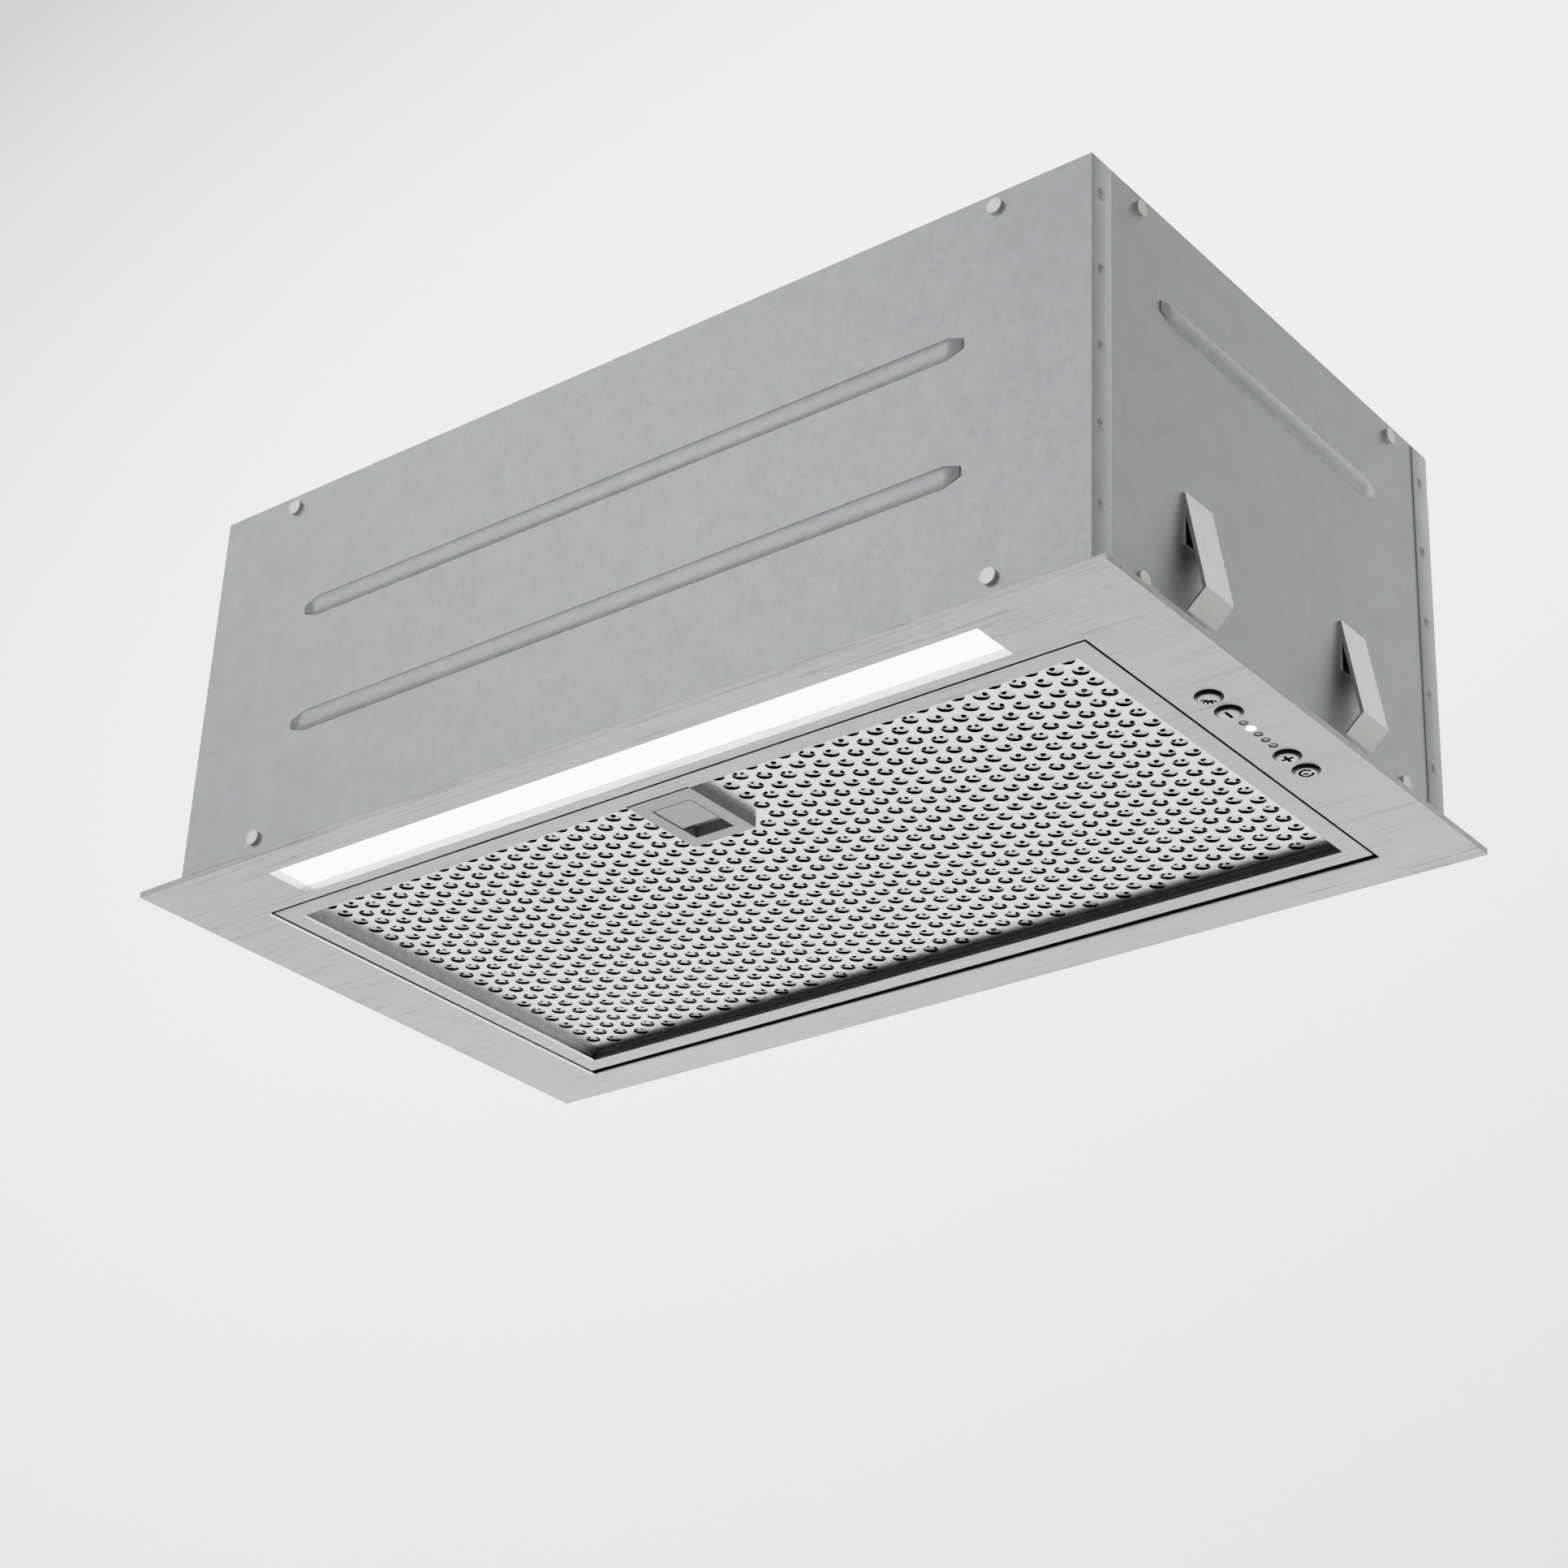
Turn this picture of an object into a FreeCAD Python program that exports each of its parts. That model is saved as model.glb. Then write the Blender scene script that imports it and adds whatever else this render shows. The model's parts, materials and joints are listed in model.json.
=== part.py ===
"""Built-in range hood: a parametric assembly of separate pieces, in millimetres.

The origin is the centre of the hood on the plane where its fixing flange meets the cabinet's underside.
X runs to the right, Y to the back and Z up. The face plate hangs just below that plane, and the housing
stands above it.
"""
import FreeCAD, Part
import math
import os
import sys

import Sketcher

Vector = FreeCAD.Vector
Rotation = FreeCAD.Rotation
Placement = FreeCAD.Placement

# Driving dimensions: name, value in mm (or a count), meaning.
DIMENSIONS = [
    ("plate_width", 520, "face plate, left to right"),
    ("plate_depth", 290, "face plate, front to back"),
    ("plate_drop", 3, "visible face below the cabinet plane"),
    ("plate_sheet", 1, "face plate sheet"),
    ("bend_radius", 0.8, "outer bend of the sheet round the filter opening"),
    ("side_margin", 39.2, "plate edge to filter opening, left and right"),
    ("front_margin", 44.6, "plate's front edge to filter opening"),
    ("back_margin", 22.4, "plate's back edge to filter opening"),
    ("lip_height", 12, "visible face to the top of the opening's lips"),
    ("window_inset", 68, "plate edge to light window, left and right"),
    ("window_margin", 14.7, "plate's front edge to light window"),
    ("window_depth", 23.4, "light window, front to back"),
    ("window_recess", 3.8, "visible face up to the diffuser"),
    ("controls_inset", 24.1, "plate's right edge to the row of controls"),
    ("button_offset", 22.1, "row centre to each inner button"),
    ("button_pitch", 14.8, "inner button to outer button"),
    ("button_radius", 5.45, "button cap"),
    ("button_proud", 1.5, "cap below the visible face"),
    ("button_travel", 1, "button stroke"),
    ("guide_clearance", 0.1, "button cap in its guide, radial"),
    ("lamp_pitch", 5.65, "indicator to indicator"),
    ("lamp_radius", 2.05, "indicator lens"),
    ("side_inset", 14, "plate edge to housing wall, left and right"),
    ("depth_inset", 11, "plate edge to housing wall, front and back"),
    ("body_height", 195, "cabinet plane to the top of the housing"),
    ("body_sheet", 1, "housing sheet"),
    ("rim_clearance", 0.5, "housing flange inside the plate's rim"),
    ("fixing_spacing", 200, "fixing screws, front to back"),
    ("fixing_radius", 2.5, "fixing screw hole"),
    ("skirt_height", 12, "turned-down edge of the top panel"),
    ("filter_gap", 0.8, "filter to opening, front and sides"),
    ("filter_back_gap", 4, "filter to opening, back"),
    ("filter_height", 9, "filter frame, visible face to top"),
    ("filter_rim", 9.2, "filter frame seen from below"),
    ("filter_sheet", 1, "filter frame sheet"),
    ("mesh_recess", 5, "visible face up to the perforated sheet"),
    ("mesh_sheet", 0.6, "perforated sheet"),
    ("hole_pitch", 10.1, "perforation, centre to centre"),
    ("hole_radius", 3.6, "perforation"),
    ("grid_height", 1, "filter back grid"),
    ("pivot_inset", 4, "filter's back face to its pivot"),
    ("pivot_rise", 3.2, "visible face up to the pivot"),
    ("pivot_radius", 1.6, "filter pivot pin"),
    ("running_clearance", 0.05, "shafts and pins in their bores, radial"),
    ("latch_width", 34, "latch body"),
    ("latch_length", 44.2, "latch body, front to back"),
    ("slider_width", 20.3, "latch slider"),
    ("slider_length", 19.1, "latch slider, front to back"),
    ("slider_inset", 8.5, "latch body's front to its slider"),
    ("pocket_length", 29.4, "latch pocket: slider and finger room"),
    ("fan_drop", 84, "top of the scroll to the fan axis"),
    ("fan_radius", 52, "impeller"),
    ("fan_width", 84, "impeller, along its axis"),
    ("blade_depth", 10, "impeller blades, radial"),
    ("blade_count", 36, "impeller blades"),
    ("scroll_width", 100, "scroll, along the fan axis"),
    ("scroll_clearance", 10, "impeller to the smallest of the scroll's three arcs"),
    ("scroll_step", 9, "scroll, growth from arc to arc"),
    ("scroll_wall", 2, "scroll wall"),
    ("inlet_radius", 44, "scroll inlet"),
    ("motor_radius", 36, "motor casing"),
    ("motor_wall", 1.5, "motor casing wall"),
    ("motor_length", 64, "motor casing"),
    ("motor_gap", 14, "fan centre to the motor's near end"),
    ("shaft_radius", 4, "motor shaft"),
    ("bearing_radius", 9, "motor bearing, outside"),
    ("bearing_width", 6, "motor bearing"),
    ("collar_radius", 74.5, "outlet collar, outside"),
    ("collar_wall", 2, "outlet collar wall"),
    ("collar_height", 45, "outlet collar above the housing"),
    ("flange_width", 13.5, "outlet flange beyond the collar"),
    ("damper_rise", 13.2, "top of the housing to the damper pin"),
    ("damper_pin", 1.5, "damper pin radius"),
    ("flap_gap", 1, "flap edge to collar bore"),
    ("flap_sheet", 1, "damper flap"),
    ("screw_radius", 1.5, "sheet metal screw shank"),
    ("screw_head", 3.5, "sheet metal screw head radius"),
    ("screw_head_height", 1.8, "sheet metal screw head"),
    ("gland_radius", 8, "cable gland's threaded body"),
    ("cable_radius", 4, "bore of the cable gland"),
    ("clip_reach", 10, "side spring clip, out from the wall"),
]

doc = FreeCAD.newDocument("RangeHood")
sizes = doc.addObject("Spreadsheet::Sheet", "Sizes")


class Size:
    """A length that carries its value and the spreadsheet formula it comes from."""

    def __init__(self, value, formula):
        self.value = value
        self.formula = formula

    def __float__(self):
        return float(self.value)

    def __add__(self, other):
        other = as_size(other)
        return Size(self.value + other.value, f"({self.formula} + {other.formula})")

    def __sub__(self, other):
        other = as_size(other)
        return Size(self.value - other.value, f"({self.formula} - {other.formula})")

    def __mul__(self, other):
        other = as_size(other)
        return Size(self.value * other.value, f"({self.formula} * {other.formula})")

    def __truediv__(self, other):
        other = as_size(other)
        return Size(self.value / other.value, f"({self.formula} / {other.formula})")

    def __neg__(self):
        return Size(-self.value, f"(0 - {self.formula})")

    __radd__ = __add__
    __rmul__ = __mul__

    def __rsub__(self, other):
        return as_size(other) - self


def as_size(number):
    return number if isinstance(number, Size) else Size(float(number), f"{float(number)}")


for row, (alias, number, meaning) in enumerate(DIMENSIONS, start=1):
    sizes.set(f"A{row}", alias)
    sizes.set(f"B{row}", str(number))
    sizes.set(f"C{row}", meaning)
    sizes.setAlias(f"B{row}", alias)
doc.recompute()
d = {alias: Size(float(sizes.get(alias)), f"Sizes.{alias}") for alias, _, _ in DIMENSIONS}

nodes = []


def bind(thing, prop, size):
    """Sets a property from a Size, or from a plain number."""
    thing.setExpression(prop, as_size(size).formula)


def place(thing, x, y, z):
    for axis, size in zip("xyz", (x, y, z)):
        bind(thing, f"Placement.Base.{axis}", size)


def box(x, y, z):
    """A box between the two values of each pair."""
    thing = doc.addObject("Part::Box", "Box")
    for prop, (low, high) in zip(("Length", "Width", "Height"), (x, y, z)):
        bind(thing, prop, as_size(high) - low)
    place(thing, x[0], y[0], z[0])
    return thing


def rod(radius, start, length, axis="z"):
    """A cylinder from start along an axis."""
    thing = doc.addObject("Part::Cylinder", "Rod")
    turns = {"x": Rotation(Vector(0, 1, 0), 90), "y": Rotation(Vector(1, 0, 0), -90), "z": Rotation()}
    thing.Placement = Placement(Vector(), turns[axis])
    bind(thing, "Radius", radius)
    bind(thing, "Height", length)
    place(thing, *start)
    return thing


def tube(outer, inner, start, length, axis="z"):
    return cut(rod(outer, start, length, axis), rod(inner, start, length, axis))


def join(*things):
    if len(things) == 1:
        return things[0]
    thing = doc.addObject("Part::MultiFuse", "Join")
    thing.Shapes = list(things)
    return thing


def cut(base, *tools):
    thing = doc.addObject("Part::Cut", "Cut")
    thing.Base = base
    thing.Tool = join(*tools)
    return thing


def common(first, second):
    thing = doc.addObject("Part::Common", "Common")
    thing.Base = first
    thing.Tool = second
    return thing


def group(*things):
    """Separate solids that share one node."""
    thing = doc.addObject("Part::Compound", "Group")
    thing.Links = list(things)
    return thing


def node(label, thing):
    thing.Label = label
    nodes.append(thing)
    return thing


def shape_node(label, shape, at=None):
    """A node whose shape comes from Part's own functions, put in its place afterwards."""
    thing = doc.addObject("Part::Feature", label)
    thing.Shape = shape
    thing.Placement = at or Placement()
    return node(label, thing)


def ring(x, y, z, wall):
    """A rectangular ring: outer limits and the wall inside them."""
    return cut(box(x, y, z), box((x[0] + wall, x[1] - wall), (y[0] + wall, y[1] - wall), z))


class Design:
    """A PartDesign body with sketches on its own origin planes."""

    def __init__(self, label, is_node=True):
        self.body = doc.addObject("PartDesign::Body", label)
        if is_node:
            node(label, self.body)

    def sketch(self, plane="XY_Plane", offset=0):
        thing = self.body.newObject("Sketcher::SketchObject", "Sketch")
        origin = [f for f in self.body.Origin.OriginFeatures if f.Role == plane][0]
        thing.AttachmentSupport = [(origin, "")]
        thing.MapMode = "FlatFace"
        bind(thing, "AttachmentOffset.Base.z", offset)
        return thing

    def pad(self, sketch, length):
        thing = self.body.newObject("PartDesign::Pad", "Pad")
        thing.Profile = sketch
        bind(thing, "Length", length)
        self.body.Tip = thing
        return thing

    def pocket(self, sketch, length):
        """Cuts upwards from the sketch."""
        thing = self.body.newObject("PartDesign::Pocket", "Pocket")
        thing.Profile = sketch
        thing.Reversed = True
        bind(thing, "Length", length)
        self.body.Tip = thing
        return thing

    def turn(self, sketch):
        """A full turn of the sketch about its own vertical axis."""
        thing = self.body.newObject("PartDesign::Revolution", "Turn")
        thing.Profile = sketch
        thing.ReferenceAxis = (sketch, ["V_Axis"])
        thing.Angle = 360
        self.body.Tip = thing
        return thing

    def round_edges(self, radius, wanted):
        doc.recompute()
        base = self.body.Tip
        names = [f"Edge{i}" for i, e in enumerate(base.Shape.Edges, start=1) if wanted(e)]
        thing = self.body.newObject("PartDesign::Fillet", "Round")
        thing.Base = (base, names)
        bind(thing, "Radius", radius)
        self.body.Tip = thing
        return thing


def pin_point(sketch, element, end, x, y):
    """Fixes one point of a sketch at x and y, which follow the spreadsheet."""
    for kind, axis, size in (("DistanceX", -2, as_size(x)), ("DistanceY", -1, as_size(y))):
        if abs(size.value) < 1e-9:
            sketch.addConstraint(Sketcher.Constraint("PointOnObject", element, end, axis))
            continue
        index = sketch.addConstraint(Sketcher.Constraint(kind, -1, 1, element, end, size.value))
        sketch.setExpression(f"Constraints[{index}]", size.formula)


def outline(sketch, points):
    """A closed outline of straight lines."""
    corners = [Vector(float(x), float(y), 0) for x, y in points]
    first = sketch.GeometryCount
    count = len(points)
    for i in range(count):
        sketch.addGeometry(Part.LineSegment(corners[i], corners[(i + 1) % count]), False)
    for i in range(count):
        after = first + (i + 1) % count
        sketch.addConstraint(Sketcher.Constraint("Coincident", first + i, 2, after, 1))
    for i, (x, y) in enumerate(points):
        pin_point(sketch, first + i, 1, x, y)


def rectangle(sketch, x, y):
    outline(sketch, [(x[0], y[0]), (x[1], y[0]), (x[1], y[1]), (x[0], y[1])])


def circle(sketch, x, y, radius):
    centre = Vector(float(x), float(y), 0)
    element = sketch.addGeometry(Part.Circle(centre, Vector(0, 0, 1), float(radius)), False)
    pin_point(sketch, element, 3, x, y)
    index = sketch.addConstraint(Sketcher.Constraint("Radius", element, float(radius)))
    sketch.setExpression(f"Constraints[{index}]", as_size(radius).formula)


def grown(limits, by):
    return (limits[0] - by, limits[1] + by)


def mirrored(half):
    return (-half, half)


# ---- Shared levels and outlines ----
face = -d["plate_drop"]
plate_top = face + d["plate_sheet"]
lip_top = face + d["lip_height"]
plate_x = mirrored(d["plate_width"] / 2)
plate_y = mirrored(d["plate_depth"] / 2)
opening_x = grown(plate_x, -d["side_margin"])
opening_y = (plate_y[0] + d["front_margin"], plate_y[1] - d["back_margin"])
window_x = grown(plate_x, -d["window_inset"])
window_y = (plate_y[0] + d["window_margin"], plate_y[0] + d["window_margin"] + d["window_depth"])
diffuser_z = face + d["window_recess"]
controls_x = plate_x[1] - d["controls_inset"]
inner_button = d["button_offset"]
outer_button = d["button_offset"] + d["button_pitch"]
button_places = {
    "light": -outer_button,
    "minus": -inner_button,
    "plus": inner_button,
    "timer": outer_button,
}
lamp_places = [d["lamp_pitch"] * i for i in (-2, -1, 0, 1, 2)]
LIT_LAMP = 1
wall_x = grown(plate_x, -d["side_inset"])
wall_y = grown(plate_y, -d["depth_inset"])
inside_x = grown(wall_x, -d["body_sheet"])
inside_y = grown(wall_y, -d["body_sheet"])
top = d["body_height"]
filter_x = grown(opening_x, -d["filter_gap"])
filter_y = (opening_y[0] + d["filter_gap"], opening_y[1] - d["filter_back_gap"])
filter_top = face + d["filter_height"]
mesh_x = grown(filter_x, -d["filter_rim"])
mesh_y = grown(filter_y, -d["filter_rim"])
mesh_z = face + d["mesh_recess"]
channel_x = grown(filter_x, -d["filter_sheet"])
channel_y = grown(filter_y, -d["filter_sheet"])
pivot_y = filter_y[1] - d["pivot_inset"]
pivot_z = face + d["pivot_rise"]
pivot_hole = d["pivot_radius"] + d["running_clearance"]

# ---- Face plate ----
CONTROL_CLEARANCE = 0.3
LENS_CLEARANCE = 0.05
lip = d["plate_sheet"]
fascia = Design("face_plate")
pad_sketch = fascia.sketch(offset=face)
rectangle(pad_sketch, plate_x, plate_y)
fascia.pad(pad_sketch, -face)
tray_sketch = fascia.sketch(offset=plate_top)
rectangle(tray_sketch, grown(plate_x, -lip), grown(plate_y, -lip))
fascia.pocket(tray_sketch, -plate_top)
for hollow_x, hollow_y in ((opening_x, opening_y), (window_x, window_y)):
    hollow_sketch = fascia.sketch(offset=face)
    rectangle(hollow_sketch, hollow_x, hollow_y)
    fascia.pocket(hollow_sketch, d["plate_sheet"])
holes_sketch = fascia.sketch(offset=face)
for place_y in button_places.values():
    circle(holes_sketch, controls_x, place_y, d["button_radius"] + CONTROL_CLEARANCE)
for place_y in lamp_places:
    circle(holes_sketch, controls_x, place_y, d["lamp_radius"] + LENS_CLEARANCE)
fascia.pocket(holes_sketch, d["plate_sheet"])


def on_opening_edge(edge):
    """An edge of the filter opening on the visible face."""
    bounds = edge.BoundBox
    flat = bounds.ZMax < float(face) + 0.001
    across = float(opening_x[0]) - 0.01 < bounds.XMin and bounds.XMax < float(opening_x[1]) + 0.01
    deep = float(opening_y[0]) - 0.01 < bounds.YMin and bounds.YMax < float(opening_y[1]) + 0.01
    return flat and across and deep and bounds.DiagonalLength > float(d["window_depth"])


fascia.round_edges(d["bend_radius"], on_opening_edge)

# Return frames stand on the plate's back round both openings.
opening_lips = ring(grown(opening_x, lip), grown(opening_y, lip), (plate_top, lip_top), lip)
window_lips = ring(grown(window_x, lip), grown(window_y, lip), (plate_top, diffuser_z), lip)
pivot_holes = [
    rod(pivot_hole, (side_x, pivot_y, pivot_z), lip, "x")
    for side_x in (opening_x[0] - lip, opening_x[1])
]
node("plate_lips", group(cut(opening_lips, *pivot_holes), window_lips))

# ---- Housing: wrap with its fixing flange, top panel, plenum frame, seal ----
flange_x = grown(plate_x, -(d["plate_sheet"] + d["rim_clearance"]))
flange_y = grown(plate_y, -(d["plate_sheet"] + d["rim_clearance"]))
flange_z = (-d["body_sheet"], 0)
fixing_x = (wall_x[1] + flange_x[1]) / 2
fixing_y = d["fixing_spacing"] / 2
panel_z = top - d["body_sheet"]
skirt_z = panel_z - d["skirt_height"]
plenum_z = (lip_top, lip_top + d["body_sheet"])
PLENUM_EDGE = 10
PLENUM_LIP = 10
SEAL_WIDTH = 3
screw_hole = d["screw_radius"] + d["running_clearance"] * 2
SCREW_LENGTH = 6
screw_level = (plenum_z[1] + PLENUM_EDGE / 2, panel_z - d["skirt_height"] / 2)
side_screws_y = d["fixing_spacing"] / 2
end_screws_x = wall_x[1] - 46


def wall_screw_places():
    """Start point and axis of each screw through the housing walls; each starts at its head's outer face."""
    reach = d["screw_head_height"]
    for level in screw_level:
        for sign in (-1, 1):
            yield (wall_x[0] - reach, sign * side_screws_y, level), "x", 1
            yield (wall_x[1] + reach, sign * side_screws_y, level), "x", -1
            yield (sign * end_screws_x, wall_y[0] - reach, level), "y", 1
            yield (sign * end_screws_x, wall_y[1] + reach, level), "y", -1


def from_head(start, axis, sense, skip, length):
    """The start of a length that runs inwards, past the first skip of it."""
    offset = skip if sense > 0 else -(as_size(skip) + length)
    return tuple(s + offset if name == axis else s for name, s in zip("xyz", start))


def wall_screw_holes():
    length = as_size(SCREW_LENGTH)
    skip = d["screw_head_height"]
    return [
        rod(screw_hole, from_head(start, axis, sense, skip, length), length, axis)
        for start, axis, sense in wall_screw_places()
    ]


def wall_screw(start, axis, sense):
    head = d["screw_head_height"]
    shank = as_size(SCREW_LENGTH)
    return join(
        rod(d["screw_head"], from_head(start, axis, sense, 0, head), head, axis),
        rod(d["screw_radius"], from_head(start, axis, sense, head, shank), shank, axis),
    )


fixing_holes = [
    rod(d["fixing_radius"], (sx * fixing_x, sy * fixing_y, flange_z[0]), d["body_sheet"])
    for sx in (-1, 1)
    for sy in (-1, 1)
]
wrap_z = (flange_z[0], top)
wrap = cut(box(wall_x, wall_y, wrap_z), box(inside_x, inside_y, wrap_z))
flange = cut(box(flange_x, flange_y, flange_z), box(inside_x, inside_y, flange_z))
node("housing_wrap", cut(join(wrap, flange), *fixing_holes, *wall_screw_holes()))

GLAND_CLEARANCE = 0.1
gland_x = wall_x[1] - 46
gland_y = wall_y[1] - 40
outlet_opening = 70
flange_radius = d["collar_radius"] + d["flange_width"]
collar_screw = flange_radius - 6
collar_screw_places = [
    (collar_screw * math.cos(math.radians(a)), collar_screw * math.sin(math.radians(a)))
    for a in (45, 135, 225, 315)
]
panel_holes = [
    rod(outlet_opening, (0, 0, panel_z), d["body_sheet"]),
    rod(d["gland_radius"] + GLAND_CLEARANCE, (gland_x, gland_y, panel_z), d["body_sheet"]),
]
panel_holes += [rod(screw_hole, (x, y, panel_z), d["body_sheet"]) for x, y in collar_screw_places]
skirt = ring(inside_x, inside_y, (skirt_z, panel_z), d["body_sheet"])
node("top_panel", cut(box(inside_x, inside_y, (panel_z, top)), *panel_holes))
node("panel_skirt", cut(skirt, *wall_screw_holes()))

# The plenum frame rests on the face plate's lips and closes the space round the filter.
plenum_inner_x = grown(opening_x, -PLENUM_LIP)
plenum_inner_y = (opening_y[0] + PLENUM_LIP, pivot_y - PLENUM_LIP / 2)
STOP_GAP = 0.3
stop_z = (filter_top + STOP_GAP, plenum_z[1])
plenum = cut(box(inside_x, inside_y, plenum_z), box(plenum_inner_x, plenum_inner_y, plenum_z))
stop_ring = ring(
    grown(plenum_inner_x, d["body_sheet"]),
    grown(plenum_inner_y, d["body_sheet"]),
    stop_z,
    d["body_sheet"],
)
edge_ring = ring(inside_x, inside_y, (plenum_z[0], plenum_z[1] + PLENUM_EDGE), d["body_sheet"])
node("plenum_frame", cut(join(plenum, stop_ring, edge_ring), *wall_screw_holes()))
wall_screws = [wall_screw(*place_) for place_ in wall_screw_places()]
seal_z = (plate_top, flange_z[0])
seal_x = grown(flange_x, -d["rim_clearance"] / 2)
seal_y = grown(flange_y, -d["rim_clearance"] / 2)
node("flange_seal", ring(seal_x, seal_y, seal_z, as_size(SEAL_WIDTH)))

# ---- Light: tray, diffuser, strip board and its LEDs ----
DIFFUSER_THICKNESS = 2
TRAY_CLEARANCE = 0.2
BOARD_THICKNESS = 1.2
BOARD_DEPTH = 16
LED_SIDE = 5
LED_HEIGHT = 1
LED_PITCH = 16
lens_x = grown(window_x, lip)
lens_y = grown(window_y, lip)
lens_z = (diffuser_z, diffuser_z + DIFFUSER_THICKNESS)
node("light_diffuser", box(lens_x, lens_y, lens_z))
tray_in_x = grown(lens_x, TRAY_CLEARANCE)
tray_in_y = grown(lens_y, TRAY_CLEARANCE)
tray_out_x = grown(tray_in_x, d["body_sheet"])
tray_out_y = grown(tray_in_y, d["body_sheet"])
tray_roof = lip_top - d["body_sheet"]
tray_solid = box(tray_out_x, tray_out_y, (plate_top, lip_top))
node("light_tray", cut(tray_solid, box(tray_in_x, tray_in_y, (plate_top, tray_roof))))
window_middle = (window_y[0] + window_y[1]) / 2
board_z = (tray_roof - BOARD_THICKNESS, tray_roof)
board_y = grown((window_middle, window_middle), BOARD_DEPTH / 2)
strip = box(window_x, board_y, board_z)
led_z = (board_z[0] - LED_HEIGHT, board_z[0])
led_y = grown((window_middle, window_middle), LED_SIDE / 2)
led_count = int(float(window_x[1] - window_x[0]) // LED_PITCH)
led_places = [LED_PITCH * (i - (led_count - 1) / 2) for i in range(led_count)]
leds = [box(grown((x, x), LED_SIDE / 2), led_y, led_z) for x in led_places]
node("light_board", join(strip, *leds))

# ---- Controls: carrier, board, switches, buttons, indicators ----
CARRIER_HALF_X = 9
CARRIER_HALF_Y = 52
CARRIER_WALL = 1.5
CARRIER_BASE = 2
BUTTON_FLANGE = 6.4
BUTTON_FLANGE_HEIGHT = 1
STEM_RADIUS = 1.6
STEM_HEIGHT = 2.2
SWITCH_SIDE = 6
PLUNGER_RADIUS = 1.5
PLUNGER_HEIGHT = 0.3
carrier_x = grown((controls_x, controls_x), CARRIER_HALF_X)
carrier_y = (-CARRIER_HALF_Y, CARRIER_HALF_Y)
carrier_base = (plate_top, plate_top + CARRIER_BASE)
control_board_z = (lip_top - BOARD_THICKNESS - CARRIER_WALL, lip_top - CARRIER_WALL)
guide_radius = d["button_radius"] + d["guide_clearance"]
carrier = Design("control_carrier")
carrier_sketch = carrier.sketch(offset=carrier_base[0])
rectangle(carrier_sketch, carrier_x, carrier_y)
carrier.pad(carrier_sketch, lip_top - carrier_base[0])
carrier_sketch = carrier.sketch(offset=carrier_base[1])
rectangle(carrier_sketch, grown(carrier_x, -CARRIER_WALL), grown(carrier_y, -CARRIER_WALL))
carrier.pocket(carrier_sketch, lip_top - carrier_base[1])
carrier_sketch = carrier.sketch(offset=carrier_base[0])
for place_y in button_places.values():
    circle(carrier_sketch, controls_x, place_y, guide_radius)
for place_y in lamp_places:
    circle(carrier_sketch, controls_x, place_y, d["lamp_radius"] + LENS_CLEARANCE)
carrier.pocket(carrier_sketch, as_size(CARRIER_BASE))
board_sheet = box(grown(carrier_x, -CARRIER_WALL), grown(carrier_y, -CARRIER_WALL), control_board_z)

flange_base = carrier_base[1]
stem_top = flange_base + BUTTON_FLANGE_HEIGHT + STEM_HEIGHT
STROKE_SPARE = 0.1
plunger_base = stem_top + d["button_travel"] + STROKE_SPARE
switch_base = plunger_base + PLUNGER_HEIGHT


def button(name, y):
    """A turned push button: cap, retaining flange and stem."""
    design = Design(f"button_{name}")
    place(design.body, controls_x, y, 0)
    sketch = design.sketch("XZ_Plane")
    cap_base = face - d["button_proud"]
    ease = 0.5
    points = [
        (0, cap_base),
        (d["button_radius"] - ease, cap_base),
        (d["button_radius"], cap_base + ease),
        (d["button_radius"], flange_base),
        (BUTTON_FLANGE, flange_base),
        (BUTTON_FLANGE, flange_base + BUTTON_FLANGE_HEIGHT),
        (STEM_RADIUS, flange_base + BUTTON_FLANGE_HEIGHT),
        (STEM_RADIUS, stem_top),
        (0, stem_top),
    ]
    outline(sketch, points)
    design.turn(sketch)


for name, place_y in button_places.items():
    button(name, place_y)
switches = []
for place_y in button_places.values():
    side_x = grown((controls_x, controls_x), SWITCH_SIDE / 2)
    side_y = grown((place_y, place_y), SWITCH_SIDE / 2)
    body = box(side_x, side_y, (switch_base, control_board_z[0]))
    plunger = rod(PLUNGER_RADIUS, (controls_x, place_y, plunger_base), as_size(PLUNGER_HEIGHT))
    switches.append(join(body, plunger))
node("tact_switches", group(*switches))

LENS_HEIGHT = 6
CHIP = 2
CHIP_HEIGHT = 0.8
lenses = [rod(d["lamp_radius"], (controls_x, y, face), as_size(LENS_HEIGHT)) for y in lamp_places]
node("indicator_lens_lit", lenses.pop(LIT_LAMP))
node("indicator_lenses", group(*lenses))
chip_z = (control_board_z[0] - CHIP_HEIGHT, control_board_z[0])
chips = [
    box(grown((controls_x, controls_x), CHIP / 2), grown((y, y), CHIP / 2), chip_z)
    for y in lamp_places
]
node("control_board", join(board_sheet, *chips))

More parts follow.
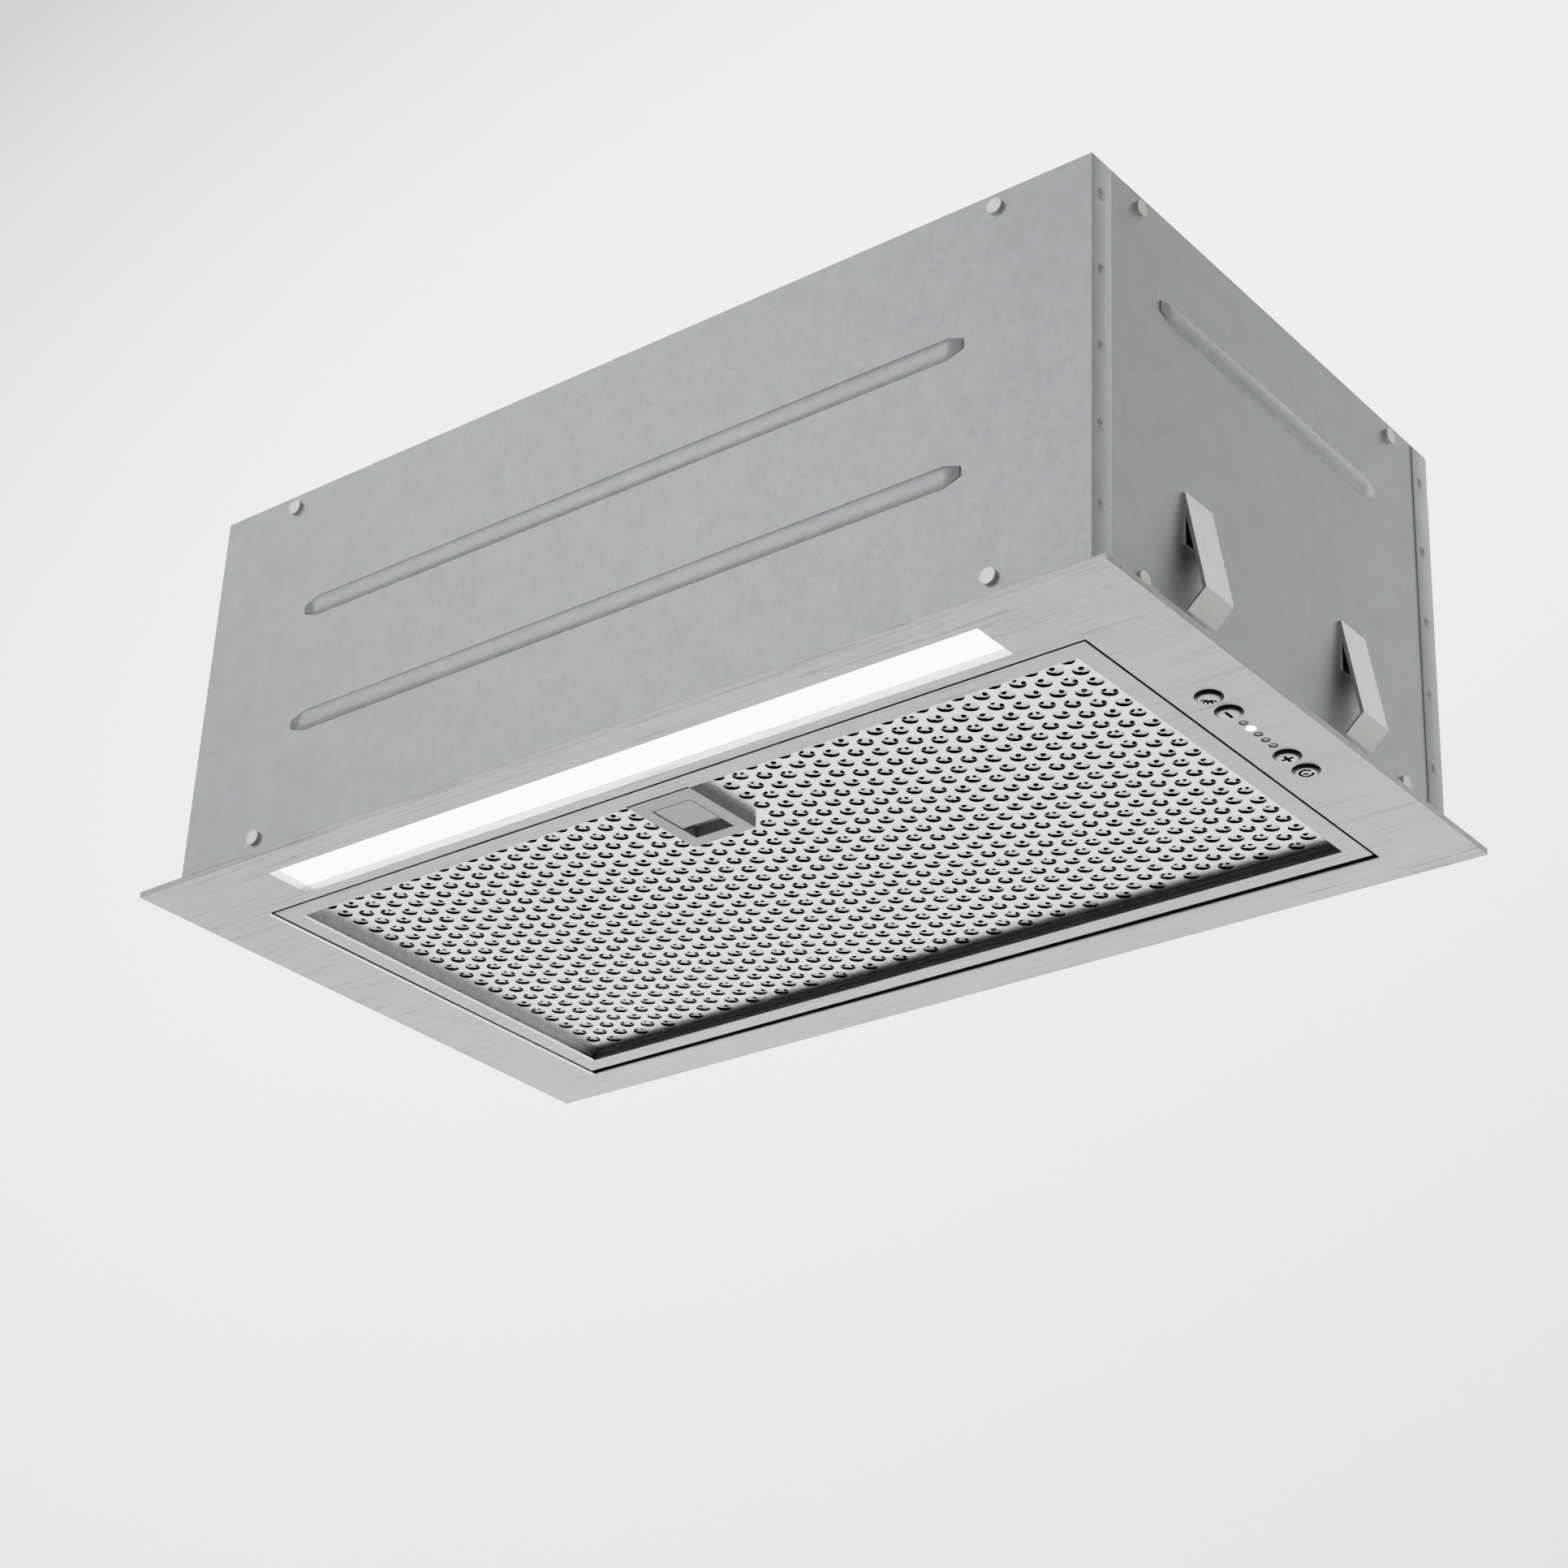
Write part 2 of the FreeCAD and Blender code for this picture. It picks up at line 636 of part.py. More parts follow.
# ---- Grease filter ----
frame = Design("filter_frame")
frame_sketch = frame.sketch(offset=face)
rectangle(frame_sketch, filter_x, filter_y)
rectangle(frame_sketch, mesh_x, mesh_y)
frame.pad(frame_sketch, d["filter_height"])
frame_sketch = frame.sketch(offset=mesh_z)
rectangle(frame_sketch, channel_x, channel_y)
frame.pocket(frame_sketch, filter_top - mesh_z)
inner_wall_x = grown(mesh_x, d["filter_sheet"])
inner_wall_y = grown(mesh_y, d["filter_sheet"])
frame_sketch = frame.sketch(offset=face + d["filter_sheet"])
rectangle(frame_sketch, channel_x, channel_y)
rectangle(frame_sketch, inner_wall_x, inner_wall_y)
frame.pocket(frame_sketch, d["mesh_recess"] - d["filter_sheet"])
for side_x in (filter_x[0], channel_x[1]):
    frame_sketch = frame.sketch("YZ_Plane", offset=side_x)
    circle(frame_sketch, pivot_y, pivot_z, pivot_hole)
    frame.pocket(frame_sketch, d["filter_sheet"])
PIN_SPARE = 0.6
pin_length = filter_x[1] + d["filter_gap"] + lip + PIN_SPARE - inner_wall_x[1]
pins = [
    rod(d["pivot_radius"], (inner_wall_x[0] - pin_length, pivot_y, pivot_z), pin_length, "x"),
    rod(d["pivot_radius"], (inner_wall_x[1], pivot_y, pivot_z), pin_length, "x"),
]
node("filter_pivot_pins", group(*pins))

LATCH_BORDER = 2.6
SHEET_CLEARANCE = 0.2
latch_x = mirrored(d["latch_width"] / 2)
latch_y = (mesh_y[0], mesh_y[0] + d["latch_length"])
latch_core_x = grown(latch_x, -LATCH_BORDER)
latch_core_y = grown(latch_y, -LATCH_BORDER)
cut_out_x = grown(latch_core_x, SHEET_CLEARANCE)
cut_out_y = grown(latch_core_y, SHEET_CLEARANCE)
layer_x = grown(channel_x, -SHEET_CLEARANCE)
layer_y = grown(channel_y, -SHEET_CLEARANCE)
pad_z = (mesh_z + d["mesh_sheet"], filter_top - d["grid_height"])
FIRST_HOLE_X = 9.7
FIRST_HOLE_Y = 6.1
HOLE_SPARE = 0.5


def perforations():
    """Centres of the staggered holes in the front sheet."""
    radius = float(d["hole_radius"])
    step_x = float(d["hole_pitch"]) * math.sqrt(3) / 2
    step_y = float(d["hole_pitch"])
    right, back = float(mesh_x[1]), float(mesh_y[1]) - radius
    keep = radius + HOLE_SPARE
    x, column = float(mesh_x[0]) + FIRST_HOLE_X, 0
    while x < right:
        y = float(mesh_y[0]) + FIRST_HOLE_Y - column % 2 * step_y / 2
        while y < back:
            clear_x = abs(x) > float(cut_out_x[1]) + keep
            clear_y = y < float(cut_out_y[0]) - keep or y > float(cut_out_y[1]) + keep
            if (clear_x or clear_y) and y > float(mesh_y[0]):
                yield x, y
            y += step_y
        x, column = x + step_x, column + 1


def perforated_sheet():
    """The front sheet as one outline with round holes, raised to its thickness."""
    z = float(mesh_z)
    corners = ((0, 0), (1, 0), (1, 1), (0, 1))
    wires = []
    for x, y in ((layer_x, layer_y), (cut_out_x, cut_out_y)):
        points = [Vector(float(x[a]), float(y[b]), z) for a, b in corners]
        wires.append(Part.makePolygon(points + points[:1]))
    wires[1].reverse()
    radius = float(d["hole_radius"])
    for x, y in perforations():
        hole = Part.Circle(Vector(x, y, z), Vector(0, 0, -1), radius)
        wires.append(Part.Wire(hole.toShape()))
    plate = Part.Face(wires)
    return plate.extrude(Vector(0, 0, float(d["mesh_sheet"])))


shape_node("filter_front_sheet", perforated_sheet())
node("filter_mesh_pad", cut(box(layer_x, layer_y, pad_z), box(cut_out_x, cut_out_y, pad_z)))
GRID_BAR = 6
grid_z = (pad_z[1], filter_top)
bars_x = [float(layer_x[0]) * f for f in (-2 / 3, -1 / 3, 1 / 3, 2 / 3)]
grid_bars = [box(grown((x, x), GRID_BAR / 2), layer_y, grid_z) for x in bars_x]
grid_ring = ring(layer_x, layer_y, grid_z, as_size(GRID_BAR))
node("filter_back_grid", join(grid_ring, *grid_bars))

# ---- Latch: body, slider with its bar, spring, spring catch ----
SLIDER_CLEARANCE = 0.25
SLIDER_SHEET = 1.6
SLIDER_SUNK = 0.2
SHELF = 1.5
CAVITY_FRONT = 2
FLOOR_FRONT = 10
FLOOR_Z = 5.5
BAR_Z = (4.6, 6.2)
BAR_HALF = 6
POST_BACK = 10
UPSTAND = 1.5
pocket_x = mirrored(d["slider_width"] / 2 + SLIDER_CLEARANCE)
pocket_y = (latch_y[0] + d["slider_inset"], latch_y[0] + d["slider_inset"] + d["pocket_length"])
slider_y0 = pocket_y[0] + SLIDER_CLEARANCE
slider_y = (slider_y0, slider_y0 + d["slider_length"])
cavity_y = (latch_y[0] + CAVITY_FRONT, pocket_y[0])
floor_y = (pocket_y[1] - FLOOR_FRONT, pocket_y[1])
latch = Design("latch_body")
latch_sketch = latch.sketch(offset=face)
rectangle(latch_sketch, latch_x, latch_y)
latch.pad(latch_sketch, d["mesh_recess"])
latch_sketch = latch.sketch(offset=face)
rectangle(latch_sketch, latch_core_x, latch_core_y)
latch.pad(latch_sketch, d["filter_height"])
latch_sketch = latch.sketch(offset=face + SHELF)
rectangle(latch_sketch, pocket_x, cavity_y)
latch.pocket(latch_sketch, d["filter_height"] - SHELF)
latch_sketch = latch.sketch(offset=face)
rectangle(latch_sketch, pocket_x, (pocket_y[0], floor_y[0]))
latch.pocket(latch_sketch, d["filter_height"])
latch_sketch = latch.sketch(offset=face)
rectangle(latch_sketch, pocket_x, floor_y)
latch.pocket(latch_sketch, as_size(FLOOR_Z))

slider_z = (face + SLIDER_SUNK, face + SLIDER_SUNK + SLIDER_SHEET)
bar_z = (face + BAR_Z[0], face + BAR_Z[1])
bar_front = slider_y[0] - 2.5
post_y = (slider_y[0], slider_y[0] + POST_BACK)
spring_seat = (post_y[1] - UPSTAND, post_y[1])
slider = join(
    box(mirrored(d["slider_width"] / 2), slider_y, slider_z),
    box(mirrored(as_size(BAR_HALF)), post_y, (slider_z[1], bar_z[0])),
    box(mirrored(as_size(BAR_HALF)), (bar_front, post_y[1]), bar_z),
    box(mirrored(as_size(BAR_HALF)), spring_seat, (bar_z[1], filter_top)),
)
node("latch_slider", slider)


def coil(radius, wire, length, turns):
    """A coil spring along Z, from z = 0 to its length."""
    pitch = (length - wire) / turns
    helix = Part.makeHelix(pitch, pitch * turns, radius)
    section = Part.Wire(Part.Circle(Vector(radius, 0, 0), Vector(0, 1, 0), wire / 2).toShape())
    return Part.Wire(helix.Edges).makePipeShell([section], True, True)


SPRING_RADIUS = 1.1
SPRING_WIRE = 0.4
SPRING_TURNS = 8
SPRING_SPARE = 0.1
spring_span = float(floor_y[0] - spring_seat[1]) - 2 * SPRING_SPARE
spring = coil(SPRING_RADIUS, SPRING_WIRE, spring_span, SPRING_TURNS)
spring_z = float(filter_top) - SPRING_RADIUS - SPRING_WIRE
spring_at = Vector(0, float(spring_seat[1]) + SPRING_SPARE, spring_z)
shape_node("latch_spring", spring, Placement(spring_at, Rotation(Vector(1, 0, 0), -90)))

CATCH_HALF = 4
CATCH_SHEET = 0.8
CATCH_FOOT = 3
CATCH_TAIL = 9
CATCH_GAP = 0.3
leg_y = (cavity_y[0] + 1.5, cavity_y[0] + 1.5 + CATCH_SHEET)
foot_z = (bar_z[0] - CATCH_GAP - CATCH_SHEET, bar_z[0] - CATCH_GAP)
catch_top = (plenum_z[1], plenum_z[1] + CATCH_SHEET)
catch_x = mirrored(as_size(CATCH_HALF))
catch = join(
    box(catch_x, (plenum_inner_y[0] - CATCH_TAIL, leg_y[1]), catch_top),
    box(catch_x, leg_y, (foot_z[0], catch_top[1])),
    box(catch_x, (leg_y[0], leg_y[1] + CATCH_FOOT), foot_z),
)
node("latch_catch", catch)

# ---- Blower: scroll halves, inlet guard, impeller, motor ----
half_scroll = d["scroll_width"] / 2
step = d["scroll_step"]
arc_radii = [d["fan_radius"] + d["scroll_clearance"] + step * i for i in (0, 1, 2)]
axis_y = -arc_radii[2] / 2
axis_z = panel_z - d["fan_drop"]
arc_centres = [
    (axis_y - step / 2, axis_z - step / 2),
    (axis_y + step / 2, axis_z - step / 2),
    (axis_y + step / 2, axis_z + step / 2),
]
SCROLL_FLANGE = 14
SCROLL_FLANGE_SHEET = 2
fan_centre = Vector(0, float(axis_y), float(axis_z))
along_x = Vector(1, 0, 0)


def scroll_section(wall):
    """The scroll's section: three growing arcs round the fan, then a straight duct to the outlet."""
    centres = [Vector(0, float(y), float(z)) for y, z in arc_centres]
    radii = [float(r) + wall for r in arc_radii]
    roof = float(panel_z)
    tongue_y = centres[0].y - wall
    tongue_z = centres[0].z + math.sqrt(radii[0] ** 2 - wall**2)
    duct_y = centres[2].y + radii[2]
    ends = [
        Vector(0, tongue_y, tongue_z),
        centres[0] + Vector(0, -radii[0], 0),
        centres[1] + Vector(0, 0, -radii[1]),
        centres[2] + Vector(0, radii[2], 0),
    ]
    edges = [Part.LineSegment(Vector(0, tongue_y, roof), ends[0]).toShape()]
    for centre, radius, start, end in zip(centres, radii, ends, ends[1:]):
        middle = (start + end) * 0.5 - centre
        through = centre + middle.normalize() * radius
        edges.append(Part.Arc(start, through, end).toShape())
    roof_end = Vector(0, duct_y, roof)
    edges.append(Part.LineSegment(ends[3], roof_end).toShape())
    edges.append(Part.LineSegment(roof_end, Vector(0, tongue_y, roof)).toShape())
    return Part.Face(Part.Wire(edges))


def scroll_half(side):
    """One moulded half of the scroll, split at the fan's middle; side is 1 for right and -1 for left."""
    width, wall = float(half_scroll), float(d["scroll_wall"])
    shell = scroll_section(wall).extrude(along_x * width)
    duct_front = float(arc_centres[0][0]) - wall
    duct_back = float(arc_centres[2][0] + arc_radii[2]) + wall
    rim = Part.makeBox(
        width + SCROLL_FLANGE,
        duct_back - duct_front + 2 * SCROLL_FLANGE,
        SCROLL_FLANGE_SHEET,
        Vector(0, duct_front - SCROLL_FLANGE, float(panel_z) - SCROLL_FLANGE_SHEET),
    )
    hollow = scroll_section(0).extrude(along_x * (width - wall))
    inlet = Part.makeCylinder(float(d["inlet_radius"]), width, fan_centre, along_x)
    half = shell.fuse(rim).cut(hollow).cut(inlet)
    for x, y in collar_screw_places:
        start = Vector(float(x), float(y), float(panel_z) - SCROLL_FLANGE_SHEET)
        half = half.cut(Part.makeCylinder(float(screw_hole), SCROLL_FLANGE_SHEET, start))
    if side < 0:
        half = half.mirror(Vector(), along_x)
    return half.removeSplitter()


shape_node("scroll_right", scroll_half(1))
shape_node("scroll_left", scroll_half(-1))

GUARD_BAR = 2
GUARD_RINGS = (12, 28)
guard_x = half_scroll
guard_start = (guard_x, axis_y, axis_z)
guard_outer = d["inlet_radius"] + GUARD_BAR * 2
guard_inner = d["inlet_radius"] - GUARD_BAR
guard_rim = tube(guard_outer, guard_inner, guard_start, as_size(GUARD_BAR), "x")
guard_rings = [
    tube(as_size(r + GUARD_BAR), as_size(r), guard_start, as_size(GUARD_BAR), "x")
    for r in GUARD_RINGS
]
guard_reach = d["inlet_radius"]
guard_slab = (guard_x, guard_x + GUARD_BAR)
guard_spokes = [
    box(guard_slab, grown((axis_y, axis_y), guard_reach), grown((axis_z, axis_z), GUARD_BAR / 2)),
    box(guard_slab, grown((axis_y, axis_y), GUARD_BAR / 2), grown((axis_z, axis_z), guard_reach)),
]
node("inlet_guard", join(guard_rim, *guard_rings, *guard_spokes))

BLADE_SHEET = 0.9
HUB_RADIUS = 12
HUB_HALF = 11
DISC_HALF = 1
RIM_WIDTH = 2.5
RIM_DEPTH = 3


def impeller():
    """A double-inlet wheel: a middle disc with its hub, forward-curved blades and two end rims."""
    outer = float(d["fan_radius"])
    inner = outer - float(d["blade_depth"])
    half = float(d["fan_width"]) / 2
    disc = Part.makeCylinder(outer, 2 * DISC_HALF, Vector(-DISC_HALF, 0, 0), along_x)
    hub = Part.makeCylinder(HUB_RADIUS, 2 * HUB_HALF, Vector(-HUB_HALF, 0, 0), along_x)
    pieces = [hub]
    for start in (-half, half - RIM_WIDTH):
        rim = Part.makeCylinder(outer, RIM_WIDTH, Vector(start, 0, 0), along_x)
        pieces.append(rim.cut(Part.makeCylinder(outer - RIM_DEPTH, RIM_WIDTH, Vector(start, 0, 0), along_x)))
    middle = (inner + outer) / 2
    for i in range(int(float(d["blade_count"]))):
        turn = 360 * i / float(d["blade_count"])
        points = []
        for shift in (0, BLADE_SHEET):
            points.append([
                Vector(-half, shift, inner),
                Vector(-half, shift - 1.5, middle),
                Vector(-half, shift + 1, outer - 0.2),
            ])
        front = Part.Arc(*points[0]).toShape()
        back = Part.Arc(*points[1]).toShape()
        foot = Part.LineSegment(points[0][0], points[1][0]).toShape()
        tip = Part.LineSegment(points[0][2], points[1][2]).toShape()
        blade = Part.Face(Part.Wire(Part.__sortEdges__([front, back, foot, tip])))
        blade = blade.extrude(along_x * (2 * half))
        blade.rotate(Vector(), along_x, turn)
        pieces.append(blade)
    wheel = disc.multiFuse(pieces)
    bore = Part.makeCylinder(float(d["shaft_radius"]), 4 * HUB_HALF, Vector(-2 * HUB_HALF, 0, 0), along_x)
    return wheel.cut(bore)


shape_node("impeller", impeller(), Placement(fan_centre, Rotation()))

# Motor on the left: two casing cups, stator with its windings, rotor on the shaft in two bearings.
SEAT_WALL = 3
SEAT_GAP = 0.02
STATOR_BORE = 20.3
STATOR_LENGTH = 28
WINDING_LENGTH = 9
WINDING_WALL = 9
ROTOR_GAP = 0.4
NUT_RADIUS = 7
NUT_LENGTH = 5
motor_near = -d["motor_gap"]
motor_far = motor_near - d["motor_length"]
motor_middle = (motor_near + motor_far) / 2
motor_inside = d["motor_radius"] - d["motor_wall"]
seat_outer = d["bearing_radius"] + SEAT_WALL
seat_length = d["bearing_width"] + d["motor_wall"]
shaft_hole = d["shaft_radius"] + 1


def at_fan(x):
    return (x, axis_y, axis_z)


def motor_cup(label, closed_end, open_end, inwards):
    """A casing cup with a bearing seat; inwards is 1 when the cup opens to the right."""
    wall = d["motor_wall"]
    start = closed_end if inwards > 0 else open_end
    length = open_end - closed_end if inwards > 0 else closed_end - open_end
    hollow_start = closed_end + wall if inwards > 0 else open_end
    seat_start = closed_end if inwards > 0 else closed_end - seat_length
    bearing_start = closed_end + wall if inwards > 0 else closed_end - seat_length
    shell = cut(
        rod(d["motor_radius"], at_fan(start), length, "x"),
        rod(motor_inside, at_fan(hollow_start), length - wall, "x"),
    )
    seat = rod(seat_outer, at_fan(seat_start), seat_length, "x")
    bearing_room = rod(d["bearing_radius"] + SEAT_GAP, at_fan(bearing_start), d["bearing_width"], "x")
    shaft_room = rod(shaft_hole, at_fan(start), length, "x")
    node(label, cut(join(shell, seat), bearing_room, shaft_room))


motor_cup("motor_casing_outer", motor_far, motor_middle, 1)
motor_cup("motor_casing_inner", motor_near, motor_middle, -1)
bearing_starts = (motor_far + d["motor_wall"], motor_near - seat_length)
bearing_bore = d["shaft_radius"] + d["running_clearance"]
bearings = [
    tube(d["bearing_radius"], bearing_bore, at_fan(x), d["bearing_width"], "x")
    for x in bearing_starts
]
node("motor_bearings", group(*bearings))
stator_start = motor_middle - STATOR_LENGTH / 2
stator_length = as_size(STATOR_LENGTH)
node("motor_stator", tube(motor_inside, as_size(STATOR_BORE), at_fan(stator_start), stator_length, "x"))
winding_outer = as_size(STATOR_BORE + WINDING_WALL)
winding_starts = (stator_start - WINDING_LENGTH, stator_start + STATOR_LENGTH)
windings = [
    tube(winding_outer, as_size(STATOR_BORE + 1), at_fan(x), as_size(WINDING_LENGTH), "x")
    for x in winding_starts
]
node("motor_windings", group(*windings))
rotor_radius = as_size(STATOR_BORE - ROTOR_GAP)
node("motor_rotor", tube(rotor_radius, d["shaft_radius"], at_fan(stator_start), stator_length, "x"))
shaft_start = motor_far - 2
hub_end = as_size(HUB_HALF)
node("motor_shaft", rod(d["shaft_radius"], at_fan(shaft_start), hub_end + NUT_LENGTH - shaft_start, "x"))
node("shaft_nut", tube(as_size(NUT_RADIUS), d["shaft_radius"], at_fan(hub_end), as_size(NUT_LENGTH), "x"))

# Motor bracket: a clamp ring with three arms whose feet stand on rubber grommets on the scroll's left side.
CLAMP_WALL = 2
CLAMP_WIDTH = 6
CLAMP_GAP = 0.02
ARM_SHEET = 2
ARM_HALF = 5
GROMMET_RADIUS = 6
GROMMET_HEIGHT = 3
ARM_REACH = 56
grommet_x = -half_scroll - GROMMET_HEIGHT
arm_x = (grommet_x - ARM_SHEET, grommet_x)
clamp_start = arm_x[1] - CLAMP_WIDTH
clamp_outer = d["motor_radius"] + CLAMP_WALL
clamp_inner = d["motor_radius"] + CLAMP_GAP
clamp = tube(clamp_outer, clamp_inner, at_fan(clamp_start), as_size(CLAMP_WIDTH), "x")
grommet_places = []
arms = []
for angle in (90, 210, 330):
    cosine, sine = math.cos(math.radians(angle)), math.sin(math.radians(angle))
    arm_start = float(d["motor_radius"]) + CLAMP_WALL / 2
    arm = Part.makeBox(
        ARM_SHEET,
        ARM_REACH + ARM_HALF - arm_start,
        2 * ARM_HALF,
        Vector(0, arm_start, -ARM_HALF),
    )
    arm.rotate(Vector(), along_x, angle)
    arms.append(arm)
    grommet_places.append((axis_y + ARM_REACH * cosine, axis_z + ARM_REACH * sine))
arm_feature = doc.addObject("Part::Feature", "Arms")
arm_feature.Shape = Part.makeCompound(arms)
place(arm_feature, arm_x[0], axis_y, axis_z)
arm_holes = [rod(screw_hole, (arm_x[0], y, z), as_size(ARM_SHEET), "x") for y, z in grommet_places]
node("motor_bracket", cut(join(clamp, arm_feature), *arm_holes))
grommets = [
    tube(as_size(GROMMET_RADIUS), screw_hole, (grommet_x, y, z), as_size(GROMMET_HEIGHT), "x")
    for y, z in grommet_places
]
node("motor_grommets", group(*grommets))
motor_screw_length = as_size(ARM_SHEET + GROMMET_HEIGHT - 0.2)
motor_screws = [
    join(
        rod(d["screw_head"], (arm_x[0] - d["screw_head_height"], y, z), d["screw_head_height"], "x"),
        rod(d["screw_radius"], (arm_x[0], y, z), motor_screw_length, "x"),
    )
    for y, z in grommet_places
]

# ---- Outlet: collar, damper pin and two flaps ----
COLLAR_SHEET = 2
LEDGE_WIDTH = 3.5
LEDGE_HEIGHT = 2
BARREL_RADIUS = 3
BARREL_ROOM = 0.6
WEB_TOP = 1.2
BARREL_SPLIT = 33
BARREL_END = 64
BARREL_GAP = 1
PIN_SUNK = 0.3
collar_bore = d["collar_radius"] - d["collar_wall"]
damper_z = top + d["damper_rise"]
flap_z = damper_z - BARREL_RADIUS - 0.2
collar = Design("Collar", is_node=False)
collar_sketch = collar.sketch("XZ_Plane")
outline(
    collar_sketch,
    [
        (collar_bore, top + COLLAR_SHEET),
        (d["collar_radius"], top + COLLAR_SHEET),
        (d["collar_radius"], top + d["collar_height"]),
        (collar_bore, top + d["collar_height"]),
        (collar_bore, flap_z),
        (collar_bore - LEDGE_WIDTH, flap_z),
        (collar_bore - LEDGE_WIDTH, flap_z - LEDGE_HEIGHT),
        (collar_bore, flap_z - LEDGE_HEIGHT),
    ],
)
collar.turn(collar_sketch)
pin_hole = d["damper_pin"] + d["running_clearance"]
pin_start = (-d["collar_radius"], 0, damper_z)
node("outlet_collar", cut(collar.body, rod(pin_hole, pin_start, d["collar_radius"] * 2, "x")))
flange_holes = [rod(screw_hole, (x, y, top), as_size(COLLAR_SHEET)) for x, y in collar_screw_places]
collar_base = tube(flange_radius, collar_bore, (0, 0, top), as_size(COLLAR_SHEET))
node("outlet_flange", cut(collar_base, *flange_holes))
damper_reach = d["collar_radius"] - PIN_SUNK
node("damper_pin", rod(d["damper_pin"], (-damper_reach, 0, damper_z), damper_reach * 2, "x"))
flap_radius = collar_bore - d["flap_gap"]
flap_edge = as_size(BARREL_RADIUS + BARREL_ROOM)


def flap(label, side, segments):
    """A half disc on its own stretches of hinge barrel; side is 1 for the back flap, -1 for the front."""
    disc = rod(flap_radius, (0, 0, flap_z), d["flap_sheet"])
    reach = (flap_edge, flap_radius) if side > 0 else (-flap_radius, -flap_edge)
    plate = common(disc, box(mirrored(flap_radius), reach, (flap_z, flap_z + d["flap_sheet"])))
    pieces = [plate]
    web_y = (0, flap_edge) if side > 0 else (-flap_edge, 0)
    for start, end in segments:
        pieces.append(rod(as_size(BARREL_RADIUS), (start, 0, damper_z), as_size(end - start), "x"))
        pieces.append(box((start, end), web_y, (flap_z, flap_z + WEB_TOP)))
    bore = rod(pin_hole, pin_start, d["collar_radius"] * 2, "x")
    node(label, cut(join(*pieces), bore))


outer_segments = [
    (-BARREL_END, -BARREL_SPLIT - BARREL_GAP),
    (BARREL_SPLIT + BARREL_GAP, BARREL_END),
]
flap("flap_front", -1, outer_segments)
flap("flap_back", 1, [(-BARREL_SPLIT, BARREL_SPLIT)])
collar_screws = [
    join(
        rod(d["screw_head"], (x, y, top + COLLAR_SHEET), d["screw_head_height"]),
        rod(d["screw_radius"], (x, y, top + COLLAR_SHEET - SCREW_LENGTH), as_size(SCREW_LENGTH)),
    )
    for x, y in collar_screw_places
]
node("assembly_screws", group(*wall_screws, *motor_screws, *collar_screws))

# ---- Electrics: control electronics, capacitor, terminal box, gland, light driver ----
BOX_WALL = 2
BOARD_SHEET = 1.6
BOX_WIDTH = 116
BOX_DEPTH = 38
BOX_HEIGHT = 84
BOX_Z = 60
BOX_INSET = 50
electronics_x = (inside_x[1] - BOX_INSET - BOX_WIDTH, inside_x[1] - BOX_INSET)
electronics_y = (inside_y[1] - BOX_DEPTH, inside_y[1])
electronics_z = (BOX_Z, BOX_Z + BOX_HEIGHT)
hollow_y = (electronics_y[0], electronics_y[1] - BOX_WALL)
electronics = cut(
    box(electronics_x, electronics_y, electronics_z),
    box(grown(electronics_x, -BOX_WALL), hollow_y, grown(electronics_z, -BOX_WALL)),
)
node("electronics_box", electronics)
cover_y = (electronics_y[0] - BOX_WALL, electronics_y[0])
node("electronics_cover", box(electronics_x, cover_y, electronics_z))
main_board_y = (hollow_y[1] - 6 - BOARD_SHEET, hollow_y[1] - 6)
main_board_x = grown(electronics_x, -BOX_WALL)
node("main_board", box(main_board_x, main_board_y, grown(electronics_z, -BOX_WALL)))
TRANSFORMER = 26
transformer_x = (main_board_x[0] + 8, main_board_x[0] + 8 + TRANSFORMER + 6)
transformer_y = (main_board_y[0] - TRANSFORMER + 4, main_board_y[0])
transformer_z = grown((BOX_Z + 24, BOX_Z + 24), TRANSFORMER / 2)
transformer = box(transformer_x, transformer_y, transformer_z)
RELAY = (12, 15, 19)
relays = []
for i in range(3):
    relay_x = (main_board_x[1] - 54 + 17 * i, main_board_x[1] - 54 + 17 * i + RELAY[0])
    relay_y = (main_board_y[0] - RELAY[1], main_board_y[0])
    relays.append(box(relay_x, relay_y, (BOX_Z + 50, BOX_Z + 50 + RELAY[2])))
node("board_components", group(transformer, *relays))

CAPACITOR_RADIUS = 14
CAPACITOR_LENGTH = 60
CAPACITOR_Z = 140
CLIP_WIDTH = 16
CLIP_SHEET = 1.2
CLIP_TAB = 14
CLIP_GAP = 0.1
capacitor_y = inside_y[1] - CAPACITOR_RADIUS - CLIP_SHEET
capacitor_x = inside_x[0] + 70
capacitor_start = (capacitor_x, capacitor_y, CAPACITOR_Z)
node("capacitor", rod(as_size(CAPACITOR_RADIUS), capacitor_start, as_size(CAPACITOR_LENGTH), "x"))
clip_x = capacitor_x + (CAPACITOR_LENGTH - CLIP_WIDTH) / 2
clip_start = (clip_x, capacitor_y, CAPACITOR_Z)
clip_outer = as_size(CAPACITOR_RADIUS + CLIP_SHEET)
clip_inner = as_size(CAPACITOR_RADIUS + CLIP_GAP)
clip_ring = tube(clip_outer, clip_inner, clip_start, as_size(CLIP_WIDTH), "x")
clip_foot_z = (CAPACITOR_Z, CAPACITOR_Z + CAPACITOR_RADIUS + CLIP_TAB)
clip_foot_y = (inside_y[1] - CLIP_SHEET, inside_y[1])
clip_foot = box((clip_x, clip_x + CLIP_WIDTH), clip_foot_y, clip_foot_z)
clip_room = rod(clip_inner, clip_start, as_size(CLIP_WIDTH), "x")
node("capacitor_clip", cut(join(clip_ring, clip_foot), clip_room))

